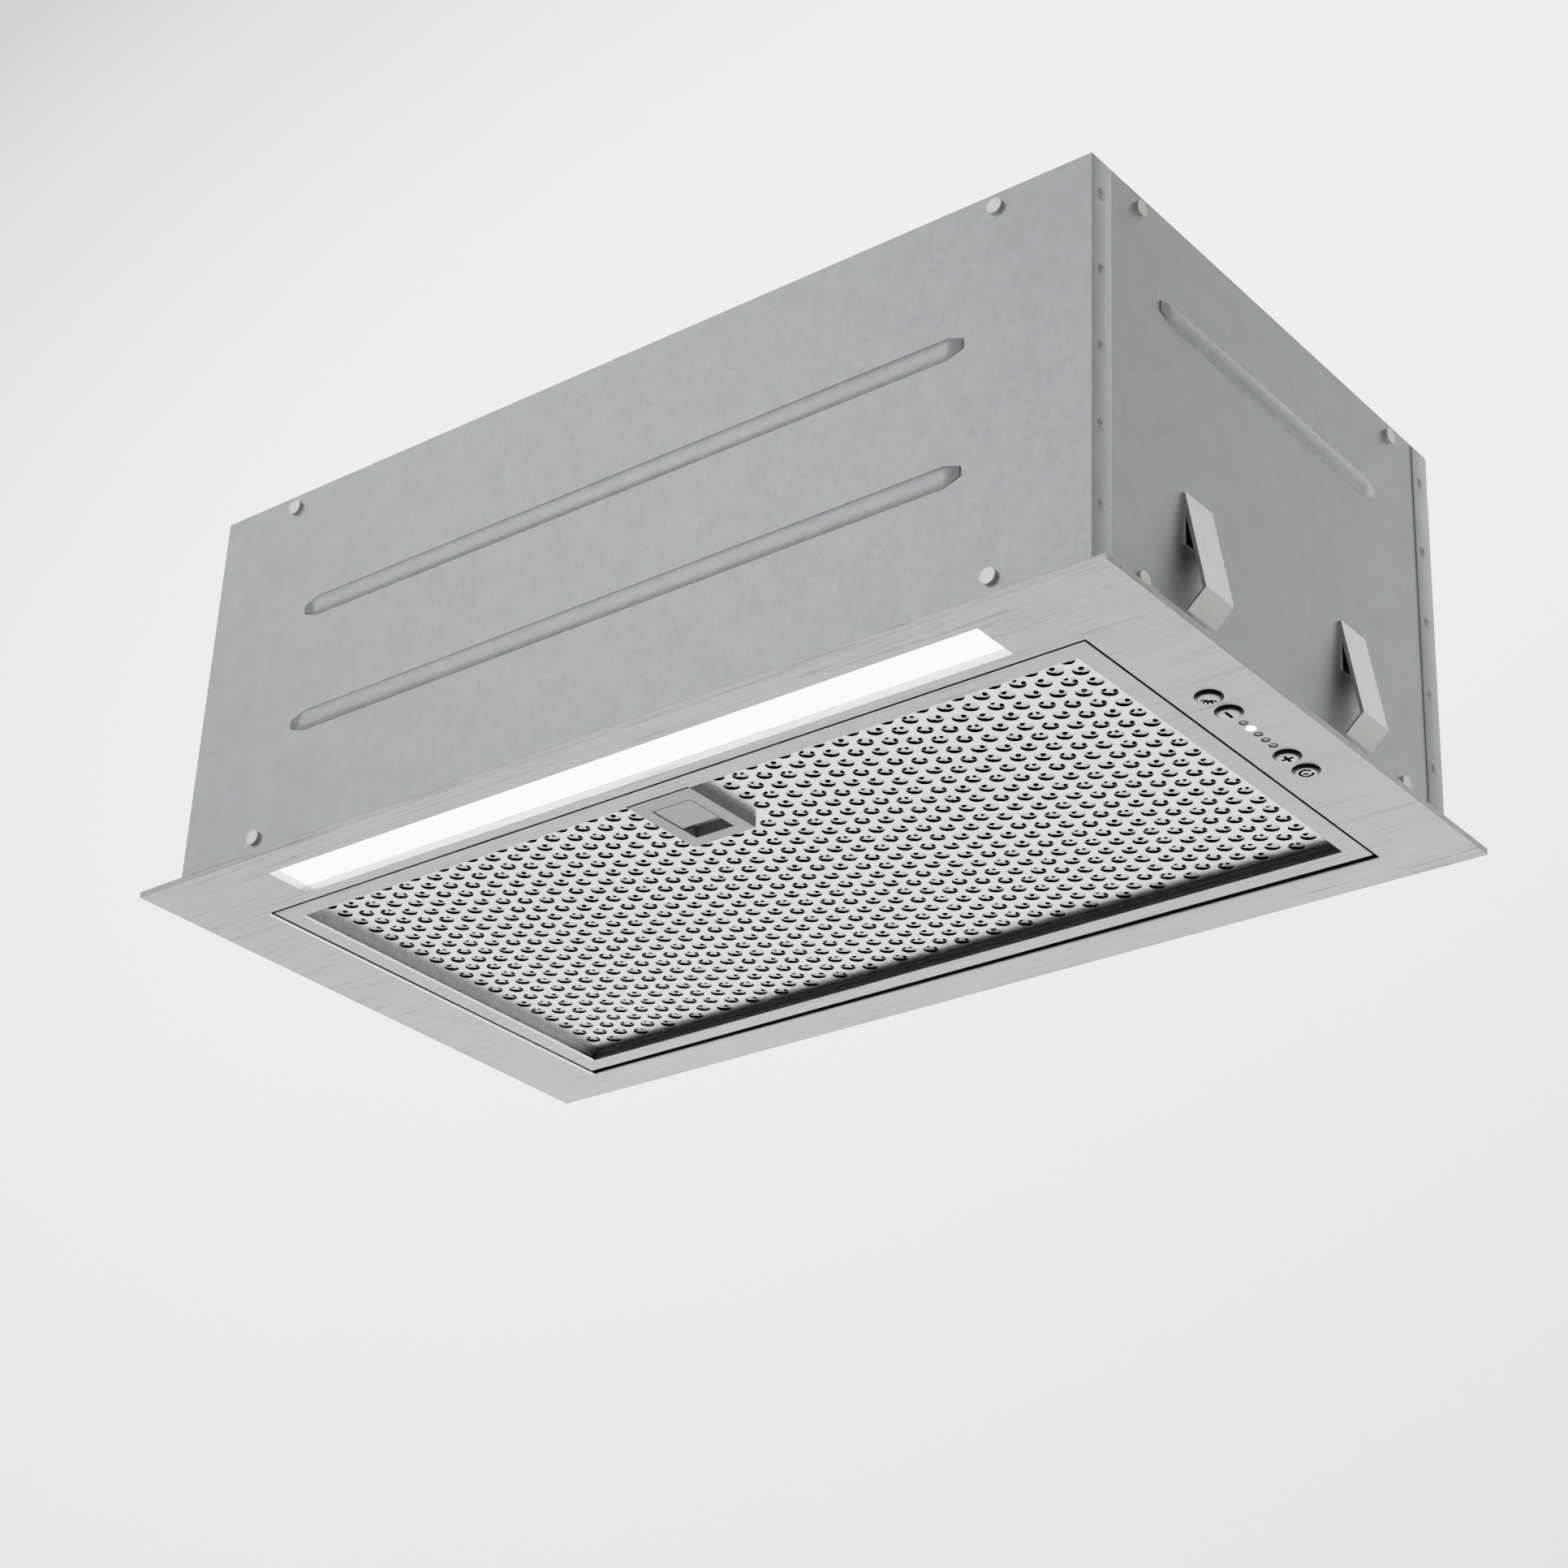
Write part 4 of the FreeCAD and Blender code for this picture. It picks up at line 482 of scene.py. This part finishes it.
def layer_tile(dots):
    """One cell of the second layer: a crescent slot and small oval holes, filled round them."""
    bm = bmesh.new()
    x, y = COLUMN / 2, PITCH / 2
    loops = [[(-x, -y), (x, -y), (x, 0), (x, y), (-x, y), (-x, 0)]]
    loops.append(slot_outline(0.0001, 0.0044, math.radians(90)))
    for angle, reach, radius in dots:
        a = AWAY + math.radians(angle)
        loops.append(oval(reach * math.cos(a), reach * math.sin(a), radius, 9, 1.5, AWAY))
    for loop in loops:
        corners = [bm.verts.new((x, y, 0)) for x, y in loop]
        for a, b in zip(corners, corners[1:] + corners[:1]):
            bm.edges.new((a, b))
    bmesh.ops.triangle_fill(bm, use_beauty=True, use_dissolve=False, edges=bm.edges[:])
    bm.verts.index_update()
    verts = [(v.co.x, v.co.y) for v in bm.verts]
    faces = [tuple(v.index for v in f.verts) for f in bm.faces]
    bm.free()
    return verts, faces


def cut_to_box(piece, low, high, hole_low, hole_high):
    """Trims a flat piece to a rectangle and takes a rectangle out of it."""
    bm = bmesh.new()
    bm.from_mesh(piece.data)

    def cut(point, normal, clear):
        geometry = bm.verts[:] + bm.edges[:] + bm.faces[:]
        bmesh.ops.bisect_plane(bm, geom=geometry, plane_co=point, plane_no=normal, clear_inner=clear)

    cut((low[0], 0, 0), (1, 0, 0), True)
    cut((high[0], 0, 0), (-1, 0, 0), True)
    cut((0, low[1], 0), (0, 1, 0), True)
    cut((0, high[1], 0), (0, -1, 0), True)
    cut((hole_low[0], 0, 0), (1, 0, 0), False)
    cut((hole_high[0], 0, 0), (1, 0, 0), False)
    cut((0, hole_high[1], 0), (0, 1, 0), False)
    cut((0, hole_low[1], 0), (0, 1, 0), False)
    inside = []
    for face in bm.faces:
        c = face.calc_center_median()
        if hole_low[0] < c.x < hole_high[0] and hole_low[1] < c.y < hole_high[1]:
            inside.append(face)
    bmesh.ops.delete(bm, geom=inside, context="FACES")
    bm.to_mesh(piece.data)
    bm.free()


def build_second_layer(level, low, high, hole_low, hole_high):
    """The slotted sheet behind the front one, with one of the kinds of cell behind each hole."""
    kinds = [layer_tile(dots) for dots in DOTS]
    depth = 0.0009
    verts, faces = [], []
    column, x = -1, FIRST[0] - COLUMN
    while x < high[0] + COLUMN:
        y = FIRST[1] - (column % 2) * PITCH / 2 - PITCH
        while y < high[1] + PITCH:
            tile_verts, tile_faces = random.choice(kinds)
            base = len(verts)
            cx, cy = x + LEAN[0] * depth, y + LEAN[1] * depth
            verts += [(cx + vx, cy + vy, 0) for vx, vy in tile_verts]
            faces += [tuple(base + i for i in f) for f in tile_faces]
            y += PITCH
        column, x = column + 1, x + COLUMN
    layer = add_piece("filter_second_layer", verts, faces, "filter_layer", "filter", welded=0.000002)
    cut_to_box(layer, low, high, hole_low, hole_high)
    for v in layer.data.vertices:
        v.co.z = level
    thicken(layer, 0.0002, 1.0)
    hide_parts("filter_mesh_pad")


def build_expanded_sheet(name, level, long, short, low, high, hole_low, hole_high):
    """Expanded metal: zigzag strands that meet at their peaks, in meshes of long by short."""
    half_strand, lift, overlap = 0.00038, 0.00012, 0.0002
    verts, faces = [], []
    row, y = 0, low[1] + short * 0.6
    while y < high[1] - short * 0.6:
        count = int((high[0] - low[0]) / (long / 2))
        for i in range(count + 1):
            px = low[0] + i * long / 2
            side = 1 if (i + row) % 2 else -1
            py = y + side * (short / 2 - overlap)
            base = len(verts)
            verts.append((px, py - half_strand, level - lift * side))
            verts.append((px, py + half_strand, level + lift * side))
            blocked = hole_low[0] - long / 2 < px < hole_high[0] and y - short < hole_high[1]
            if i < count and not blocked:
                faces.append((base, base + 2, base + 3, base + 1))
        y += short
        row += 1
    sheet = add_piece(name, verts, faces, "aluminium_mesh", "filter")
    bm = bmesh.new()
    bm.from_mesh(sheet.data)
    bmesh.ops.delete(bm, geom=[v for v in bm.verts if not v.link_faces], context="VERTS")
    bm.to_mesh(sheet.data)
    bm.free()
    thicken(sheet, 0.0003)


def build_filter_layers():
    """What shows through the front sheet's holes, with room left for the latch."""
    pad_low, pad_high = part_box("filter_mesh_pad")
    latch_low, latch_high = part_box("latch_body")
    room = 0.0004
    low = (pad_low.x + room, pad_low.y + room)
    high = (pad_high.x - room, pad_high.y - room)
    hole_low = (latch_low.x - room, latch_low.y - 0.01)
    hole_high = (latch_high.x + room, latch_high.y + room)
    build_second_layer(pad_low.z + room, low, high, hole_low, hole_high)
    build_expanded_sheet("filter_expanded_1", 0.0037, 0.009, 0.0042, low, high, hole_low, hole_high)
    build_expanded_sheet("filter_expanded_2", 0.0045, 0.0074, 0.0036, low, high, hole_low, hole_high)


def build_rear_shadow_seal():
    """A black rubber profile along the back wall of the recess, with two soft beads, as a painted shadow on
    that wall.
    """
    profile = (
        (0.0, -0.0024),
        (0.0005, -0.0025),
        (0.0009, -0.0021),
        (0.0010, -0.0015),
        (0.0007, -0.0009),
        (0.0006, 0.0003),
        (0.0009, 0.0010),
        (0.0008, 0.0018),
        (0.0, 0.0019),
    )
    section = [(RECESS_HIGH[1] - out, z) for out, z in profile]
    clear, taper = 0.0002, 0.0012
    verts, faces = sweep_x(section, RECESS_LOW[0] + clear, RECESS_HIGH[0] - clear, taper)
    add_piece("recess_rear_shadow_seal", verts, faces, "rubber", "filter")


# ---------------------------------------------------------------- buttons and lamps


def flat_strokes(strokes, level, width):
    """Lines of ink with square ends, as thin solids on top of level."""
    verts, faces = [], []
    depth = 0.00005
    for points in strokes:
        base = len(verts)
        for i, p in enumerate(points):
            before, after = points[max(i - 1, 0)], points[min(i + 1, len(points) - 1)]
            dx, dy = after[0] - before[0], after[1] - before[1]
            size = math.hypot(dx, dy)
            nx, ny = -dy / size * width / 2, dx / size * width / 2
            for sx, sz in ((-1, 0), (1, 0), (1, depth), (-1, depth)):
                verts.append((p[0] + sx * nx, p[1] + sx * ny, level + sz))
        for i in range(len(points) - 1):
            a = base + 4 * i
            for k in range(4):
                n = (k + 1) % 4
                faces.append((a + k, a + n, a + 4 + n, a + 4 + k))
        faces.append(tuple(base + k for k in range(4)))
        faces.append(tuple(base + 4 * (len(points) - 1) + k for k in range(4)))
    return verts, faces


def polar(radius, degrees):
    turn = math.radians(degrees)
    return (radius * math.cos(turn), radius * math.sin(turn))


def arc(radius, start, end, count):
    return [polar(radius, start + (end - start) * i / (count - 1)) for i in range(count)]


STROKE = {"light": 0.0010, "minus": 0.0015, "plus": 0.0014, "timer": 0.0011}


def icon(kind):
    """Generic symbols, in metres from the button's middle: lamp, minus, plus and clock."""
    reach = 0.0027
    if kind == "light":
        rays = [[polar(0.0013, a), polar(0.0035, a)] for a in (58, 94, 130, 166, 202)]
        return rays + [arc(0.0009, 40, 220, 8)]
    if kind == "minus":
        return [[(0, -reach), (0, reach)]]
    if kind == "plus":
        return [[(0, -reach), (0, reach)], [(-reach, 0), (reach, 0)]]
    return [arc(reach, 20, 340, 22), [(0, 0), (-0.0017, 0)], [(0, 0), (0, 0.0014)]]


# A cap's side, rounded edge and nearly flat face: (inset from the side, height above the face's level).
CAP_EDGE = (
    (0.0, 0.0024),
    (0.0, 0.0014),
    (0.00008, 0.0011),
    (0.0003, 0.00078),
    (0.0007, 0.00045),
    (0.0012, 0.00023),
    (0.0016, 0.00016),
    (0.0019, 0.00012),
    (0.00365, 0.00007),
    (0.00515, 0.00006),
)


def build_buttons():
    """Metal caps on a flange and a stem, their icons, and a black ring of painted shadow in the gap at the
    edge of the hole round each cap.
    """
    radius, stem, flange, flange_top = 0.00545, 0.0016, 0.0064, 0.001
    hole, proud, ring_top = 0.0058, 0.00004, 0.001
    inner, outer = hole - 0.00008, hole + 0.00022
    for kind in ("light", "minus", "plus", "timer"):
        low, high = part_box(f"button_{kind}")
        x, y = (low.x + high.x) / 2, (low.y + high.y) / 2
        profile = [(stem, high.z), (stem, flange_top), (flange, flange_top), (flange, 0.0), (radius, 0.0)]
        profile += [(radius - inset, low.z + rise) for inset, rise in CAP_EDGE]
        verts, faces = lathe(profile, (x, y), 64)
        cap = add_piece(f"cap_{kind}", verts, faces, "button_metal", f"{kind}_button", smooth=True)
        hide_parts(f"button_{kind}")
        strokes = [[(x + px, y + py) for px, py in line] for line in icon(kind)]
        verts, faces = flat_strokes(strokes, low.z + 0.00001, STROKE[kind])
        add_piece(f"icon_{kind}", verts, faces, "ink_and_shadow_lines", f"{kind}_button")
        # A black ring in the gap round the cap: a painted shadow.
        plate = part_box("face_plate")[0].z
        top, bottom = plate + ring_top, plate - proud
        ring = [(inner, top), (inner, bottom), (outer, bottom), (outer, top)]
        verts, faces = lathe(ring, (x, y), 64)
        add_piece(f"button_gap_shadow_{kind}", verts, faces[:-2], "black_plastic", "hood", smooth=True)


# ---------------------------------------------------------------- trims and the housing's details


def build_filter_trims():
    """Black felts of painted shadow in the gaps round the opening, its rolled left edge with a painted
    highlight, and the folds of the filter's own left edge.
    """
    filter_low, filter_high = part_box("filter_frame")
    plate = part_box("face_plate")[0].z
    gap, back_gap = 0.0008, 0.004
    left, right = filter_low.x - gap, filter_high.x + gap
    front, back = filter_low.y - gap, filter_high.y + back_gap
    low, high = (left, back - 0.0003, plate + 0.0003), (right, back, 0.004)
    bar("gap_shadow_felt_back", low, high, "seal_foam", "hood", 0.0001)
    lip = left - 0.0008
    low, high = (lip, front, plate - 0.00006), (left + 0.0007, back, 0.001)
    bar("gap_shadow_felt_left", low, high, "seal_foam", "hood", 0.0001)

    # The plate's edge is rolled along the left of the opening, and catches the light; its near-white steel
    # is a painted highlight.
    width, height = 0.0018, 0.00022
    section = [(lip - width / 2 - across, plate - out) for across, out in half_round(width, height)]
    verts, faces = prism_y(section, front, back)
    add_piece("opening_rolled_edge", verts, faces, "rolled_edge_highlight", "hood")

    # The filter's own left edge: a near-white hem as a painted highlight, a black strip of painted shadow
    # along the crease outside it and a thin strip of painted shade and reflection on the recess wall.
    wall, front = RECESS_LOW
    back = RECESS_HIGH[1] - 0.0011
    shadow_line, width, drop = wall - 0.0006, 0.0011, 0.0001
    section = [(shadow_line, plate), (wall - 0.0005, plate - drop), (wall + width, plate - drop)]
    verts, faces = prism_y(section + [(wall + width, plate + drop)], front, back)
    add_piece("filter_left_hem_highlight", verts, faces, "rolled_edge_highlight", "filter")
    low, high = (wall - 0.00095, front, plate - 0.00004), (shadow_line, back, plate + drop)
    bar("filter_left_shadow_crease", low, high, "rubber", "filter", 0.00001)
    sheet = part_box("filter_front_sheet")[0].z
    low, high = (wall, front, plate + 0.0020), (wall + 0.00012, back, sheet)
    bar("filter_left_wall_shade", low, high, "shaded_margin", "filter", 0.00003)


def build_latch_shadow_lines():
    """Black lines of painted shadow in the gaps round the slider and along the front of the latch."""
    body_low, body_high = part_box("latch_body")
    face, half = body_low.z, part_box("latch_slider")[1].x
    line, top, bottom = 0.0004, face + 0.0012, face - 0.00004
    front = body_low.y + 0.0085
    back = front + 0.0191
    strips = {
        "slider_shadow_left": ((-half - line, front, bottom), (-half, back, top)),
        "slider_shadow_right": ((half, front, bottom), (half + line, back, top)),
        "slider_shadow_front": ((-half, front, bottom), (half, front + line, top)),
        "latch_front_shadow": (
            (body_low.x, body_low.y - 0.0008, face - 0.0001),
            (body_high.x, body_low.y, face + 0.0001),
        ),
    }
    for name, (low, high) in strips.items():
        bar(name, low, high, "ink_and_shadow_lines", "filter", 0.00002)


# A spot weld's flat middle and raised rim: (radius, height).
WELD = ((0.0001, 0.00004), (0.0014, 0.00006), (0.0019, 0.0002), (0.0024, 0.0002), (0.0027, 0.0))


def build_housing_details():
    """Pressed ribs, the lapped corner seams and their spot welds."""
    half_width, half_depth = 0.246, 0.134
    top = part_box("housing_wrap")[1].z
    root, taper, reach, side_reach = 0.0002, 0.008, 0.185, 0.085
    outline = [(across, out - root) for across, out in half_round(0.011, 0.0013)]
    for level in (0.068, 0.128):
        for side, name in ((-1, "front"), (1, "back")):
            section = [(side * (half_depth + out), level + across) for across, out in outline]
            verts, faces = sweep_x(section, -reach, reach, taper)
            name = f"rib_{name}_{round(level * 1000)}"
            add_piece(name, verts, faces, "galvanised", "hood", smooth=True)
    level, lap, sheet, inset = 0.150, 0.013, 0.0005, 0.0006
    first_weld, weld_step = 0.034, 0.036
    for side, name in ((-1, "left"), (1, "right")):
        section = [(side * (half_width + out), level + across) for across, out in outline]
        verts, faces = sweep_x(section, -side_reach, side_reach, taper)
        verts = [(y, x, z) for x, y, z in verts]
        add_piece(f"rib_{name}", verts, faces, "galvanised", "hood", smooth=True)
        for end, place in ((-1, "front"), (1, "back")):
            xs = sorted((side * (half_width - 0.0001), side * (half_width + sheet)))
            ys = sorted((end * half_depth, end * (half_depth - lap)))
            low, high = (xs[0], ys[0], inset), (xs[1], ys[1], top - inset)
            bar(f"seam_{name}_{place}", low, high, "galvanised", "hood", 0.0002)
            verts, faces = [], []
            for count in range(5):
                made, sides = lathe(WELD, (0, 0), 16)
                base = len(verts)
                z, y = first_weld + weld_step * count, end * (half_depth - lap / 2)
                verts += [(side * (half_width + sheet + out), y + vx, z + vy) for vx, vy, out in made]
                faces += [tuple(base + i for i in f) for f in sides]
            add_piece(f"welds_{name}_{place}", verts, faces, "galvanised", "hood", smooth=True)


def build_lamps():
    """Small domed lenses in dark rings; the CAD's own lens is the lit one."""
    low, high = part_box("indicator_lenses")
    lit_low, lit_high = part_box("indicator_lens_lit")
    radius, x = (lit_high.x - lit_low.x) / 2, (lit_low.x + lit_high.x) / 2
    inner, pitch = radius * 0.7, 0.00565
    dome = [(0.0002, 0.00002), (inner * 0.5, 0.00008), (inner * 0.85, 0.0003), (inner, 0.0006)]
    dome = [(r, low.z + rise) for r, rise in dome] + [(inner, high.z), (0.0002, high.z)]
    ring = [(inner, 0.0007), (inner + 0.0001, 0.00012), (radius * 0.93, 0.00002), (radius, 0.0001)]
    ring = [(r, low.z + rise) for r, rise in ring + [(radius, 0.0012), (inner, 0.0012)]]
    dome_verts, dome_faces, ring_verts, ring_faces = [], [], [], []
    for step in (-2, 0, 1, 2):
        for profile, verts, faces in ((dome, dome_verts, dome_faces), (ring, ring_verts, ring_faces)):
            made, sides = lathe(profile, (x, step * pitch), 24)
            base = len(verts)
            verts += made
            faces += [tuple(base + i for i in f) for f in (sides if profile is dome else sides[:-2])]
    lamps = add_piece("lamp_domes", dome_verts, dome_faces, "clear_lens", "hood", smooth=True)
    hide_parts("indicator_lenses")
    add_piece("lamp_rings", ring_verts, ring_faces, "black_plastic", "hood", smooth=True)


build_filter_layers()
build_rear_shadow_seal()
build_filter_trims()
build_latch_shadow_lines()
build_housing_details()
build_buttons()
build_lamps()


# ---------------------------------------------------------------- stage, light, camera

FLOOR = -1.8


def stage_piece(name, rows, paint):
    """A smooth sheet through rows of points, which is not part of the object."""
    bm = bmesh.new()
    made = [[bm.verts.new(point) for point in row] for row in rows]
    for low, high in zip(made, made[1:]):
        for i in range(len(low) - 1):
            bm.faces.new((low[i], low[i + 1], high[i + 1], high[i]))
    mesh = bpy.data.meshes.new(name)
    bm.to_mesh(mesh)
    bm.free()
    for face in mesh.polygons:
        face.use_smooth = True
    mesh.materials.append(paint.material)
    sheet = bpy.data.objects.new(name, mesh)
    scene.collection.objects.link(sheet)


def build_stage():
    """A pale floor that rises far away on all sides, and a nearer wall behind the object."""
    paint = Paint("studio_paper", (0.86, 0.86, 0.855), 0.9)
    paint.shade(paint.noise(2, 2), 0.98, 1.0)
    quarter = [i * math.pi / 32 for i in range(1, 17)]
    top, far, bend = 14.0, 24.0, 6.0
    profile = [(0.01, 0.0), (6.0, 0.0), (far, 0.0)]
    profile += [(far + bend * math.sin(t), bend - bend * math.cos(t)) for t in quarter]
    profile += [(far + bend, top)]
    around = [2 * math.pi * i / 96 for i in range(97)]
    rows = [[(r * math.cos(a), r * math.sin(a), FLOOR - 0.003 + z) for a in around] for r, z in profile]
    stage_piece("studio_floor", rows, paint)
    # The wall's foot dips below the floor, so that no edge shows where it begins.
    foot, bend = 4.0, 2.0
    profile = [(foot - 0.5, -0.02), (foot, -0.006)]
    profile += [(foot + bend * math.sin(t), bend - bend * math.cos(t)) for t in quarter]
    profile += [(foot + bend, top)]
    rows = [[(x, y, FLOOR + z) for x in (-16.0, 12.0)] for y, z in profile]
    stage_piece("studio_wall", rows, paint)


def area_light(name, at, target, size, power, spread=180):
    """A soft box of that size and power in watts, turned to its target."""
    data = bpy.data.lights.new(name, "AREA")
    data.shape = "RECTANGLE"
    data.size, data.size_y = size
    data.energy = power
    data.spread = math.radians(spread)
    lamp = bpy.data.objects.new(name, data)
    lamp.location = at
    lamp.rotation_euler = (Vector(target) - Vector(at)).to_track_quat("-Z", "Y").to_euler()
    scene.collection.objects.link(lamp)


def build_light():
    """An even room, a key from the front left above, a weak bounce from below and a wash on the wall."""
    world = bpy.data.worlds.new("studio_air")
    world.use_nodes = True
    air = world.node_tree.nodes["Background"]
    air.inputs["Color"].default_value = (0.94, 0.95, 0.96, 1)
    air.inputs["Strength"].default_value = 0.5
    scene.world = world
    area_light("key_softbox", (-1.8, -2.4, 1.7), (0, 0, 0.1), (1.8, 1.8), 24)
    area_light("bounce_card", (-0.9, 2.1, -1.1), (-0.5, 1.0, 0), (2.0, 1.6), 3)
    area_light("backdrop_wash", (-5.0, -0.5, 7.5), (-6.4, 6.0, 3.4), (12.0, 3.0), 2300, 120)


def build_camera():
    """A long lens below the plate's front right corner, with a slight roll."""
    eye = Vector((0.8407, -1.0233, -0.6438))
    target = Vector((0.0519, -0.0710, -0.003))
    roll = math.radians(2.78)
    data = bpy.data.cameras.new("camera")
    data.sensor_width = 36
    data.lens = 77.41
    data.clip_start, data.clip_end = 0.02, 60
    camera = bpy.data.objects.new("camera", data)
    camera.location = eye
    look = (target - eye).to_track_quat("-Z", "Y").to_matrix().to_4x4()
    camera.rotation_euler = (look @ Matrix.Rotation(roll, 4, "Z")).to_euler()
    scene.collection.objects.link(camera)
    scene.camera = camera


build_stage()
build_light()
build_camera()

bpy.context.view_layer.update()
